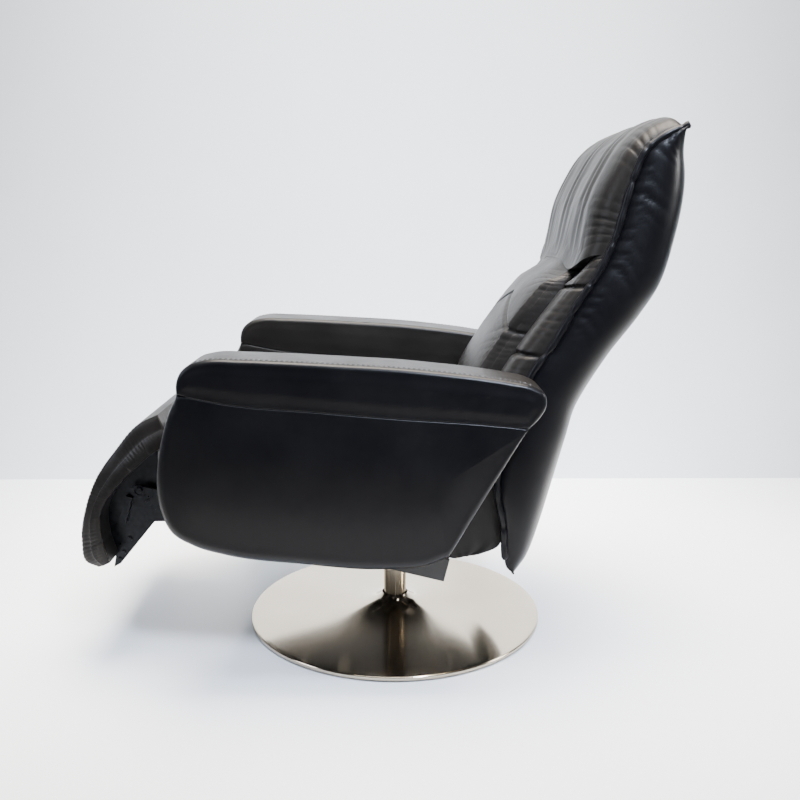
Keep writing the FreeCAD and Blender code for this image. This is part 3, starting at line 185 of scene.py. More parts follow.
def noise(tree, place, scale, detail, **more):
    """Value of a noise texture."""
    inputs = {"Vector": place, "Scale": scale, "Detail": detail, **more}
    return add_node(tree, "ShaderNodeTexNoise", None, inputs).outputs["Fac"]


def wave(tree, place, direction, scale, **more):
    """Value of a wave texture whose bands lie across a direction."""
    inputs = {"Vector": place, "Scale": scale, **more}
    return add_node(tree, "ShaderNodeTexWave", {"bands_direction": direction}, inputs).outputs["Fac"]


def product(tree, first, second):
    """Two values multiplied."""
    return add_node(tree, "ShaderNodeMath", {"operation": "MULTIPLY"}, {0: first, 1: second}).outputs["Value"]


def ranged(tree, value, low, high, from_low=0.0, from_high=1.0):
    """Value brought from one range into another."""
    inputs = {"Value": value, "From Min": from_low, "From Max": from_high, "To Min": low, "To Max": high}
    return add_node(tree, "ShaderNodeMapRange", None, inputs).outputs["Result"]


def tinted(tree, share, dark, light):
    """Mix of two linear colours."""
    return add_node(tree, "ShaderNodeMix", {"data_type": "RGBA"}, {0: share, 6: dark, 7: light}).outputs[2]


def bumped(tree, strength, distance, height, **more):
    """Normal of a bumpy surface."""
    inputs = {"Strength": strength, "Distance": distance, "Height": height, **more}
    return add_node(tree, "ShaderNodeBump", None, inputs).outputs["Normal"]


def leather(name, dark, light, roughness, shine, crease):
    """Corrected-grain cowhide, dyed near black and rolled smooth, satin.
    The pebble grain is about 1 mm on the real hide and is drawn at 2.4 mm so that it shows."""
    tree, place = new_material(name)
    pebble = add_node(tree, "ShaderNodeTexVoronoi", {"feature": "SMOOTH_F1"},
                      {"Vector": place, "Scale": 1 / 0.0024, "Smoothness": 0.6})
    pull = noise(tree, place, 1 / 0.022, 4.0, Roughness=0.55, Distortion=0.6)
    tone = noise(tree, place, 1 / 0.09, 3.0)
    grain = bumped(tree, 0.16, 0.0004, pebble.outputs["Distance"])
    finish_material(tree, {"Base Color": tinted(tree, tone, linear(dark), linear(light)),
                           "Roughness": ranged(tree, tone, roughness - 0.04, roughness + 0.05, 0.3, 0.7),
                           "IOR": 1.5, "Specular IOR Level": shine,
                           "Normal": bumped(tree, crease, 0.002, pull, Normal=grain)})


def thread(name):
    """Bonded polyester thread, twisted and waxed: a faint sheen on each stitch."""
    tree, place = new_material(name)
    twist = wave(tree, place, "DIAGONAL", 1 / 0.0016)
    finish_material(tree, {"Base Color": linear("#2a2a2c"), "Roughness": 0.45,
                           "Normal": bumped(tree, 0.3, 0.0002, twist)})


def brushed_disc(name, colour):
    """Stainless sheet, spun and brushed in circles: a lathe's fine rings draw the highlights out into fans."""
    tree, place = new_material(name)
    flat = add_node(tree, "ShaderNodeVectorMath", {"operation": "MULTIPLY"}, {0: place, 1: (1, 1, 0)})
    flat = flat.outputs["Vector"]
    radius = add_node(tree, "ShaderNodeVectorMath", {"operation": "LENGTH"}, {0: flat})
    rings = add_node(tree, "ShaderNodeTexNoise", {"noise_dimensions": "1D"},
                     {"W": radius.outputs["Value"], "Scale": 1 / 0.0012, "Detail": 2.0}).outputs["Fac"]
    cloud = noise(tree, place, 1 / 0.12, 2.0)
    finish_material(tree, {"Base Color": tinted(tree, cloud, linear(colour), linear("#c6baa6")), "Metallic": 1.0,
                           "Roughness": ranged(tree, rings, 0.10, 0.15, 0.3, 0.7), "Anisotropic": 0.7,
                           "Tangent": flat, "Normal": bumped(tree, 0.015, 0.0003, rings)})


def brushed_column(name, colour):
    """Stainless tube, ground along its length with fine grit."""
    tree, place = new_material(name)
    squeezed = add_node(tree, "ShaderNodeMapping", None, {"Vector": place, "Scale": (900.0, 900.0, 12.0)})
    scratch = noise(tree, squeezed.outputs["Vector"], 1.0, 2.0)
    finish_material(tree, {"Base Color": linear(colour), "Metallic": 1.0,
                           "Roughness": ranged(tree, scratch, 0.16, 0.32)})


def zinc_plate(name):
    """Mild steel, stamped, zinc plated and passivated black: dark metal with soft blotches from the bath."""
    tree, place = new_material(name)
    blotch = noise(tree, place, 1 / 0.008, 5.0)
    finish_material(tree, {"Base Color": tinted(tree, blotch, linear("#151618"), linear("#2a2c2f")),
                           "Metallic": 1.0, "Roughness": ranged(tree, blotch, 0.2, 0.45)})


def powder_coat(name):
    """Black polyester powder on steel, baked: satin with a fine orange-peel surface."""
    tree, place = new_material(name)
    peel = noise(tree, place, 1 / 0.0022, 2.0)
    finish_material(tree, {"Base Color": tinted(tree, peel, linear("#0b0b0c"), linear("#121213")),
                           "Roughness": 0.42, "Specular IOR Level": 0.2,
                           "Normal": bumped(tree, 0.12, 0.0003, peel)})


def moulded(name, dark, light, roughness, grain):
    """Moulded plastic with a spark-eroded mould grain."""
    tree, place = new_material(name)
    spark = noise(tree, place, 1 / grain, 3.0)
    finish_material(tree, {"Base Color": tinted(tree, spark, linear(dark), linear(light)),
                           "Roughness": roughness, "IOR": 1.46, "Normal": bumped(tree, 0.14, 0.0003, spark)})


def birch_ply(name):
    """Birch plywood, sawn and left bare: veneers about 1.5 mm thick show at the edges."""
    tree, place = new_material(name)
    layers = wave(tree, place, "Y", 1 / 0.0094, Distortion=2.0, Detail=2.0)
    long_grain = add_node(tree, "ShaderNodeMapping", None, {"Vector": place, "Scale": (6.0, 140.0, 140.0)})
    fibre = noise(tree, long_grain.outputs["Vector"], 1.0, 5.0)
    share = product(tree, layers, fibre)
    finish_material(tree, {"Base Color": tinted(tree, share, linear("#c9a87a"), linear("#8e6a41")),
                           "Roughness": 0.65})


def woven_web(name):
    """Elastic webbing, woven from rubber and polypropylene: ribs about 2 mm apart."""
    tree, place = new_material(name)
    weave = product(tree, wave(tree, place, "X", 1 / 0.0126), wave(tree, place, "Y", 1 / 0.0126))
    finish_material(tree, {"Base Color": tinted(tree, weave, linear("#131313"), linear("#2c2b2a")),
                           "Roughness": 0.8, "Normal": bumped(tree, 0.5, 0.0006, weave)})


def plaster(name, colour, scale):
    """Matt paint on a trowelled ground: a slight cloudiness and no gloss. Its back is left clear."""
    tree, place = new_material(name)
    base = linear(colour)
    shade = tuple(channel * 0.9 for channel in base[:3]) + (1.0,)
    back = add_node(tree, "ShaderNodeNewGeometry").outputs["Backfacing"]
    through = add_node(tree, "ShaderNodeMath", {"operation": "SUBTRACT"}, {0: 1.0, 1: back})
    finish_material(tree, {"Base Color": tinted(tree, noise(tree, place, scale, 5.0), shade, base),
                           "Roughness": 0.7, "Alpha": through.outputs["Value"]})
    return bpy.data.materials[name]


def finishes():
    """Every finish by name, made once."""
    colours = bpy.context.scene.recliner_colours
    if "leather smooth" not in bpy.data.materials:
        leather("leather smooth", colours.leather, colours.leather_worn, 0.33, 0.15, 0.1)
        # Lit copy of the leather: lighter, warmer seat colours as painted light, with more crease and roughness.
        leather("leather creased", colours.leather_seat_painted_lit, colours.leather_seat_painted_lit_worn, 0.42, 0.15, 0.3)
        thread("polyester thread")
        brushed_disc("stainless brushed in circles", colours.steel)
        brushed_column("stainless ground lengthwise", colours.steel)
        zinc_plate("zinc plated steel")
        powder_coat("black powder coat")
        moulded("black nylon", "#121212", "#1b1b1b", 0.5, 0.0012)
        moulded("glossy ABS", "#1a1a1c", "#222225", 0.2, 0.003)
        moulded("black rubber", "#0e0e0e", "#181818", 0.8, 0.0016)
        birch_ply("birch plywood")
        woven_web("elastic webbing")
    return bpy.data.materials


FINISH_OF_SLOT = {
    "black_steel": "black powder coat",
    "zinc_steel": "zinc plated steel",
    "brushed_stainless": "stainless ground lengthwise",
    "pad_rubber": "black rubber",
    "black_nylon": "black nylon",
    "rocker_plastic": "glossy ABS",
    "plywood": "birch plywood",
    "webbing": "elastic webbing",
    "leather_over_foam": "leather smooth",
    "leather": "leather smooth",
}


def along(points, count, columns=None):
    """Points in millimetres resampled on a smooth curve through them, in metres.
    They are spaced evenly by the length over the first so many columns, or over all."""
    given = np.array(points, float) / 1000
    steps = np.linalg.norm(np.diff(given[:, :columns], axis=0), axis=1)
    reach = np.concatenate([[0], np.cumsum(steps)])
    slope = np.gradient(given, reach, axis=0)
    wanted = np.linspace(0, reach[-1], count)
    low = np.clip(np.searchsorted(reach, wanted, side="right") - 1, 0, len(reach) - 2)
    run = (reach[low + 1] - reach[low])[:, None]
    part = ((wanted - reach[low]) / run[:, 0])[:, None]
    square, cube = part ** 2, part ** 3
    return (given[low] * (2 * cube - 3 * square + 1) + slope[low] * run * (cube - 2 * square + part)
            + given[low + 1] * (3 * square - 2 * cube) + slope[low + 1] * run * (cube - square))


def behind(line, distance):
    """Outline moved to its right-hand side by a distance in millimetres."""
    given = np.array(line, float)
    run = np.gradient(given, axis=0)
    run /= np.linalg.norm(run, axis=1, keepdims=True)
    return given + distance * np.column_stack([-run[:, 1], run[:, 0]])


def looked_up(line, share):
    """Points of an evenly sampled line at shares of its length."""
    spot = np.clip(share, 0, 1) * (len(line) - 1)
    low = np.minimum(spot.astype(int), len(line) - 2)
    part = (spot - low)[:, None]
    return line[low] * (1 - part) + line[low + 1] * part


def fade(value, start, end):
    """0 before start, 1 after end, smooth between."""
    part = np.clip((value - start) / (end - start), 0, 1)
    return part * part * (3 - 2 * part)


def crease_drop(x):
    """How far the crease under the head cushion lies below its straight seam, in metres."""
    wide = np.abs(x)
    return 0.011 + 0.015 * np.exp(-((wide - 0.15) / 0.045) ** 2) - 0.014 * fade(wide, 0.19, 0.25)


def folds(across, lengthwise, spacing, seed):
    """Narrow creases that run lengthwise, spacing apart on average, and wander like pulled leather: 0 to 1."""
    wander = (np.sin(lengthwise * 9.1 + seed) * 0.35 + np.sin(lengthwise * 23.0 + seed * 2.1) * 0.16
              + np.sin(across * 31.0 + seed * 3.3) * 0.9 + np.sin(across * 73.0 + lengthwise * 17 + seed) * 0.5)
    phase = math.pi * across / spacing + wander
    line = 1 - np.abs(np.sin(phase))
    strength = 0.55 + 0.45 * np.sin(across * 47.0 + seed * 5.7 + lengthwise * 6.0)
    return line ** 2.2 * strength


def finished(name, mesh, material, smooth=True):
    """Object at the origin with one material and smooth faces."""
    thing = bpy.data.objects.new(name, mesh)
    bpy.context.scene.collection.objects.link(thing)
    mesh.materials.clear()
    mesh.materials.append(finishes()[material])
    if smooth:
        mesh.polygons.foreach_set("use_smooth", [True] * len(mesh.polygons))
    return thing


def as_mesh(name, shape):
    """Mesh made from a bmesh, which is freed."""
    mesh = bpy.data.meshes.new(name)
    shape.to_mesh(mesh)
    shape.free()
    return mesh


def sewn(name, across, lengthwise, place):
    """Cover made from a grid: place gives each point from its two shares, 0 to 1."""
    shape = bmesh.new()
    bmesh.ops.create_grid(shape, x_segments=across, y_segments=lengthwise, size=1)
    shares = np.array([(v.co.x / 2 + 0.5, v.co.y / 2 + 0.5) for v in shape.verts])
    points = place(shares[:, 0], shares[:, 1])
    for vertex, point in zip(shape.verts, points):
        vertex.co = point
    bmesh.ops.remove_doubles(shape, verts=shape.verts, dist=2e-5)
    bmesh.ops.dissolve_degenerate(shape, edges=shape.edges, dist=1e-6)
    bmesh.ops.recalc_face_normals(shape, faces=shape.faces)
    return as_mesh(name, shape)


def baked(thing):
    """Mesh of an object with its modifiers applied."""
    return bpy.data.meshes.new_from_object(thing.evaluated_get(bpy.context.evaluated_depsgraph_get()))


def inflated(thing, pressure, cap):
    """Pad blown up by the cloth solver, each point held within a cap of where it was."""
    scene = bpy.context.scene
    rest = np.array([v.co for v in thing.data.vertices])
    modifier = thing.modifiers.new("Cloth", "CLOTH")
    settings = modifier.settings
    settings.quality = 5
    settings.mass = 0.4
    settings.tension_stiffness = 25
    settings.compression_stiffness = 25
    settings.shear_stiffness = 10
    settings.bending_stiffness = 3
    settings.use_pressure = True
    settings.uniform_pressure_force = pressure
    settings.effector_weights.gravity = 0
    modifier.collision_settings.use_collision = False
    modifier.point_cache.frame_start = 1
    modifier.point_cache.frame_end = CLOTH_FRAMES
    for number in range(1, CLOTH_FRAMES + 1):
        scene.frame_set(number)
    mesh = baked(thing)
    thing.modifiers.remove(modifier)
    moved = np.array([v.co for v in mesh.vertices]) - rest
    reach = np.maximum(np.linalg.norm(moved, axis=1, keepdims=True), 1e-9)
    kept = rest + moved / reach * np.minimum(reach, cap)
    mesh.vertices.foreach_set("co", kept.ravel())
    thing.data = mesh
    scene.frame_set(1)
    mesh.polygons.foreach_set("use_smooth", [True] * len(mesh.polygons))
    return thing


def upholstered(thing, body, nodes):
    """Tie a padded piece to its body and hide the solids it stands for."""
    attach(thing, body)
    if nodes:
        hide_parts(*nodes)


def cushion(front, back, low, high, crown, lift, front_share=0.62, drop=None):
    """Placement of a closed cushion: its section runs up the front line and down the back line.
    It spans low to high in X. crown gives how full it is, 0 to 1, and lift an extra height in metres.
    drop gives how far it follows the crease under the head cushion, 0 to 1."""
    front_line = along(front, 120)
    back_line = along(back, 120)

    def place(across, around):
        width = np.sin((across * 2 - 1) * np.pi / 2)
        ahead = around < front_share
        share = np.where(ahead, around / front_share, (1 - around) / (1 - front_share))
        share = (1 - np.cos(np.pi * share)) / 2
        inner = looked_up(back_line, share)
        outer = looked_up(front_line, share)
        inside = (across > 1e-6) & (across < 1 - 1e-6) & (share > 1e-9) & ahead
        full = np.where(inside, crown(width, share), 0.0)[:, None]
        x = low + (high - low) * (width + 1) / 2
        run = outer - inner
        spot = inner + run * full
        reach = np.maximum(np.linalg.norm(run, axis=1, keepdims=True), 1e-4)
        spot = spot + run / reach * (lift(x, share) * inside)[:, None]
        if drop is not None:
            spot[:, 1] -= crease_drop(x) * drop(share)
        return np.column_stack([x, spot])
    return place


def pillow(outline, spine, sign, crown):
    """Placement of an upholstered slab seen from the side: a closed outline with the radius of each edge.
    Both faces are drawn in to a straight spine and swell by the crown. The sign is the side of the chair."""
    loop, radius = [], []
    for points, edge in outline:
        part = along(points, int(np.linalg.norm(np.diff(points, axis=0), axis=1).sum() / 4))[:-1]
        loop += part.tolist()
        radius += [edge] * len(part)
    loop.append(loop[0])
    radius = np.convolve(radius[-4:] + radius + radius[:5], np.ones(9) / 9, "valid")
    loop = np.array(loop)
    ends = np.array(spine) / 1000

    def place(across, lengthwise):
        index = np.rint(lengthwise * (len(loop) - 1)).astype(int)
        rim, edge = loop[index], radius[index] / 1000
        middle_y = np.rint(np.clip(rim[:, 0], ends[0, 0], ends[1, 0]) / 0.006) * 0.006
        middle = np.column_stack([middle_y, np.interp(middle_y, ends[:, 0], ends[:, 1])])
        reach = np.linalg.norm(middle - rim, axis=1)
        near = across < 0.5
        share = np.where(near, across, 1 - across) * 2
        turn = np.clip((share - 0.62) / 0.33, 0, 1) * np.pi / 2
        inset = np.where(share < 0.62, reach + (edge - reach) * share / 0.62, edge * (1 - np.sin(turn)))
        side = edge * (1 - np.cos(turn))
        swell = crown * fade(1 - share / 0.62, 0, 0.7) * np.where(near, 1, 0.4)
        x = np.where(near, ARM_OUTER - side + swell, ARM_INNER + side - swell)
        x = np.where(share > 0.999, (ARM_INNER + ARM_OUTER) / 2, x)
        spot = rim + (middle - rim) * (inset / reach)[:, None]
        return np.column_stack([sign * x, spot])
    return place, len(loop) - 1


def eased(mesh, limit, rounds):
    """Even out the swell of both faces, beyond a limit from their middle in X, and leave their outline."""
    shape = bmesh.new()
    shape.from_mesh(mesh)
    middle = sum(v.co.x for v in shape.verts) / len(shape.verts)
    chosen = [v for v in shape.verts if abs(v.co.x - middle) > limit]
    for _ in range(rounds):
        bmesh.ops.smooth_vert(shape, verts=chosen, factor=0.5, use_axis_x=True, use_axis_y=False,
                              use_axis_z=False)
    shape.to_mesh(mesh)
    shape.free()
    return mesh


class RECLINER_OT_stage(bpy.types.Operator):
    """Pale floor, wall, camera and soft lights."""
    bl_idname = "recliner.stage"
    bl_label = "Stage"

    def execute(self, context):
        colours = context.scene.recliner_colours
        camera = bpy.data.objects.new("Camera", bpy.data.cameras.new("Camera"))
        context.scene.collection.objects.link(camera)
        camera.data.lens = CAMERA_LENS
        camera.data.sensor_width = SENSOR_WIDTH
        camera.location = CAMERA_PLACE
        level = math.cos(CAMERA_PITCH)
        look = Vector((-math.cos(CAMERA_YAW) * level, math.sin(CAMERA_YAW) * level, -math.sin(CAMERA_PITCH)))
        camera.rotation_euler = look.to_track_quat("-Z", "Y").to_euler()
        context.scene.camera = camera
        for name, colour, scale, size, spot, turn in (
                ("studio_floor", colours.floor, 1.2, 4.0, (3.01, 0, 0), 0),
                ("studio_wall", colours.wall, 2.5, 4.0, (-0.99, 0, 4.0), math.pi / 2)):
            shape = bmesh.new()
            bmesh.ops.create_grid(shape, x_segments=1, y_segments=1, size=size,
                                  matrix=Matrix.Translation(spot) @ Matrix.Rotation(turn, 4, "Y"))
            mesh = as_mesh(name, shape)
            mesh.materials.append(plaster(name, colour, scale))
            thing = bpy.data.objects.new(name, mesh)
            context.scene.collection.objects.link(thing)
        self.light("Ceiling softbox", (-0.35, 0.1, 2.7), (-0.35, 0, 0.4), 1.9, 100, 75, "#fff0de")
        self.light("Wall wash", (0.3, 0.0, 3.2), (-0.99, 0, 0.9), 2.2, 90, 80, "#f4f8ff")
        self.light("Key", (2.3, 0.9, 2.5), (0, 0.15, 0.5), 0.45, 22, 50, "#dfeaff")
        self.light("Window", (0.9, -2.6, 1.7), (0, 0, 0.4), 0.9, 10, 80, "#e6eeff")
        self.light("Rear fill", (0.3, 2.6, 1.3), (0, 0.2, 0.6), 0.8, 12, 80, "#ffffff")
        world = bpy.data.worlds.new("Studio")
        context.scene.world = world
        world.use_nodes = True
        world.node_tree.nodes.clear()
        tree = world.node_tree
        spot = add_node(tree, "ShaderNodeTexCoord").outputs["Generated"]
        side = add_node(tree, "ShaderNodeSeparateXYZ", None, {"Vector": spot})
        sky = add_node(tree, "ShaderNodeBackground", None, {
            "Color": (0.86, 0.92, 1.0, 1.0), "Strength": ranged(tree, side.outputs["X"], 0.3, 0.03, -1.0, 1.0)})
        add_node(tree, "ShaderNodeOutputWorld", None, {"Surface": sky.outputs["Background"]})
        return {"FINISHED"}

    def light(self, name, spot, aim, size, power, spread, colour):
        """Square soft light that looks at a point, with a beam of so many degrees."""
        data = bpy.data.lights.new(name, "AREA")
        data.size = size
        data.energy = power
        data.spread = math.radians(spread)
        data.color = linear(colour)[:3]
        lamp = bpy.data.objects.new(name, data)
        lamp.location = spot
        lamp.rotation_euler = (Vector(aim) - Vector(spot)).to_track_quat("-Z", "Y").to_euler()
        bpy.context.scene.collection.objects.link(lamp)


class RECLINER_OT_lead(bpy.types.Operator):
    """Lead that hangs in a loop from the supply box to the recline motor, with its strain reliefs."""
    bl_idname = "recliner.lead"
    bl_label = "Motor lead"

    def execute(self, context):
        data = bpy.data.curves.new("motor_cable", "CURVE")
        data.dimensions = "3D"
        spline = data.splines.new("NURBS")
        spline.points.add(len(LEAD_ROUTE) - 1)
        for point, (x, y, z) in zip(spline.points, LEAD_ROUTE):
            point.co = (x / 1000, y / 1000, z / 1000, 1)
        spline.order_u = 3
        spline.use_endpoint_u = True
        spline.resolution_u = 16
        data.bevel_depth = 0.003
        data.bevel_resolution = 5
        data.materials.append(finishes()["black rubber"])
        cable = bpy.data.objects.new("motor_cable", data)
        context.scene.collection.objects.link(cable)
        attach(cable, "seat")
        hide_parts("motor_lead")
        for name, first, second in (("lead_relief_box", 0, 1), ("lead_relief_motor", -1, -2)):
            start = Vector(LEAD_ROUTE[first]) / 1000
            run = (Vector(LEAD_ROUTE[second]) / 1000 - start).normalized()
            shape = bmesh.new()
            bmesh.ops.create_cone(shape, cap_ends=True, segments=24, radius1=0.0065, radius2=0.0036, depth=0.018)
            turn = run.to_track_quat("Z", "Y").to_matrix().to_4x4()
            bmesh.ops.transform(shape, matrix=Matrix.Translation(start + run * 0.009) @ turn, verts=shape.verts)
            rims = [e for e in shape.edges if len(e.link_faces) == 2 and e.calc_face_angle(0) > 0.5]
            bmesh.ops.bevel(shape, geom=rims, offset=0.0008, offset_type="OFFSET", affect="EDGES", segments=2,
                            profile=0.5, material=-1)
            relief = finished(name, as_mesh(name, shape), "black rubber")
            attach(relief, "seat")
        return {"FINISHED"}


class RECLINER_OT_hardware(bpy.types.Operator):
    """Finishes for the carried-over solids, and the smooth spun disc."""
    bl_idname = "recliner.hardware"
    bl_label = "Hardware"

    def execute(self, context):
        for entry in frame["record"]["subparts"]:
            node = frame["nodes"][entry["node"]]
            material = finishes()[FINISH_OF_SLOT[entry["material_slot"]]]
            node.data.materials.clear()
            node.data.materials.append(material)
        radii = np.concatenate([np.linspace(0.0272, 0.06, 14), np.linspace(0.068, HOLLOW_RADIUS, 30)])
        flare = 1 / COLLAR_RADIUS - 1 / HOLLOW_RADIUS
        profile = list(zip(radii, DISC_EDGE_HEIGHT + DISC_RISE * (1 / radii - 1 / HOLLOW_RADIUS) / flare))
        for angle in np.linspace(80, 0, 6):
            turn = math.radians(angle)
            profile.append((HOLLOW_RADIUS + RIM_ROUND * math.cos(turn), 0.008 + RIM_ROUND * math.sin(turn)))
        lip = RIM_RADIUS - 0.0018
        profile += [(RIM_RADIUS, RIM_LOW), (lip, RIM_LOW), (lip, 0.0075)]
        shape = bmesh.new()
        points = [shape.verts.new((r, 0, z)) for r, z in profile]
        for first, second in zip(points, points[1:]):
            shape.edges.new((first, second))
        bmesh.ops.spin(shape, geom=shape.verts[:] + shape.edges[:], cent=(0, 0, 0), axis=(0, 0, 1),
                       angle=2 * math.pi, steps=160, use_merge=True)
        bmesh.ops.remove_doubles(shape, verts=shape.verts, dist=1e-6)
        bmesh.ops.recalc_face_normals(shape, faces=shape.faces)
        disc = finished("spun_disc", as_mesh("spun_disc", shape), "stainless brushed in circles")
        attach(disc, "base")
        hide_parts("base_cover")
        return {"FINISHED"}


class RECLINER_OT_arms(bpy.types.Operator):
    """Padded arm panels, arm pads and the stitching along the pads."""
    bl_idname = "recliner.arms"
    bl_label = "Arms"

    def execute(self, context):
        crown = context.scene.recliner_sizes.crown
        panel = [(ARM_KEEL, 20), (ARM_HEEL, 12), (SEAM_LINE[::-1], 3)]
        pad = [(PAD_TOP, 9), (SEAM_LINE[::-1], 2)]
        for side, sign in (("left", 1), ("right", -1)):
            place, steps = pillow(panel, PANEL_SPINE, sign, crown)
            name = "arm_side_" + side
            thing = finished(name, eased(sewn(name, 60, steps, place), 0.0545, 40), "leather smooth")
            self.painted_lit_leather_inside(thing, PANEL_LIT_LEATHER_EDGE)
            upholstered(thing, "seat", ["arm_panel_" + side])
            place, steps = pillow(pad, PAD_SPINE, sign, crown * 0.4)
            name = "arm_top_" + side
            thing = finished(name, sewn(name, 60, steps, place), "leather smooth")
            self.painted_lit_leather_inside(thing, PAD_LIT_LEATHER_EDGE)
            upholstered(thing, "seat", ["arm_pad_" + side])
            self.stitches(thing, side, sign)
        shape = bmesh.new()
        middle = Matrix.Translation((-0.260, -0.135, 0.489))
        bmesh.ops.create_cube(shape, size=1, matrix=middle @ Matrix.Diagonal((0.0144, 0.094, 0.034, 1)))
        bmesh.ops.bevel(shape, geom=shape.edges[:], offset=0.0022, offset_type="OFFSET", affect="EDGES",
                        segments=3, profile=0.5, material=-1)
        bezel = finished("control_bezel", as_mesh("control_bezel", shape), "black nylon", False)
        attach(bezel, "seat")
        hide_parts("control_panel")
        return {"FINISHED"}

    def painted_lit_leather_inside(self, thing, border):
        """Seat leather, the lighter copy drawn as painted light, on the faces nearer the sitter than a border in
        metres.
        """
        thing.data.materials.append(finishes()["leather creased"])
        for face in thing.data.polygons:
            if abs(face.center.x) < border:
                face.material_index = 1

    def stitches(self, pad, side, sign):
        """Two rows of stitches along the outer edge of a pad."""
        sizes = bpy.context.scene.recliner_sizes
        tree = BVHTree.FromPolygons([v.co.copy() for v in pad.data.vertices],
                                    [tuple(p.vertices) for p in pad.data.polygons])
        shape = bmesh.new()
        pitch = sizes.stitch_length + sizes.stitch_gap
        for centre in STITCH_ROWS:
            for y in np.arange(-0.325, 0.225, pitch):
                ends = []
                for shift in (-0.5, 0.5):
                    hit = tree.ray_cast(Vector((sign * centre, y + shift * sizes.stitch_length, 0.8)),
                                        Vector((0, 0, -1)))
                    ends.append(hit[0])
                if None in ends:
                    continue
                run = ends[1] - ends[0]
                turn = run.to_track_quat("Z", "Y").to_matrix().to_4x4()
                size = Matrix.Diagonal((0.0006, 0.0006, sizes.stitch_length / 2, 1))
                middle = Matrix.Translation((ends[0] + ends[1]) / 2 + Vector((0, 0, 0.0002)))
                bmesh.ops.create_uvsphere(shape, u_segments=6, v_segments=4, radius=1,
                                          matrix=middle @ turn @ size)
        name = "arm_stitches_" + side
        row = finished(name, as_mesh(name, shape), "polyester thread")
        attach(row, "seat")


class RECLINER_OT_seat(bpy.types.Operator):
    """Seat cushion and the gathered leather gussets at its rear corners."""
    bl_idname = "recliner.seat"
    bl_label = "Seat"

    def execute(self, context):
        def crown(width, share):
            return (1 - np.abs(width) ** 9) ** 0.5

        def lift(x, share):
            hollow = 0.004 * np.cos(np.clip(np.abs(x) / 0.25, 0, 1) * np.pi / 2)
            return hollow - 0.0012 * folds(x, share, 0.05, 2.0) * fade(share, 0.86, 0.97)
        place = cushion(SEAT_TOP, SEAT_LOW, -SEAT_HALF, SEAT_HALF, crown, lift)
        thing = finished("seat_pad", sewn("seat_pad", 100, 180, place), "leather creased")
        upholstered(inflated(thing, 2.0, 0.004), "seat", ["seat_cushion"])
        for side, sign in (("left", 1), ("right", -1)):
            piece = finished("corner_gusset_" + side, self.gusset(sign), "leather creased")
            upholstered(piece, "seat", ["seat_skirts"] if sign > 0 else [])
        return {"FINISHED"}

    def gusset(self, sign):
        """Soft leather between the arm and the tail of the back, folded like a fan."""
        front, rear = along(GUSSET_FRONT, 60), along(GUSSET_REAR, 60)

        def place(across, around):
            face = around < 0.5
            share = np.where(face, around * 2, (1 - around) * 2)
            spot = looked_up(front, share) * (1 - across[:, None]) + looked_up(rear, share) * across[:, None]
            depth = np.sin(across * np.pi * 7 + share * 2.0) * 0.0016 * np.sin(np.pi * np.clip(across, 0, 1))
            x = np.where(face, 0.2312 + depth, 0.2272)
            return np.column_stack([sign * x, spot])
        return sewn("gusset", 56, 80, place)


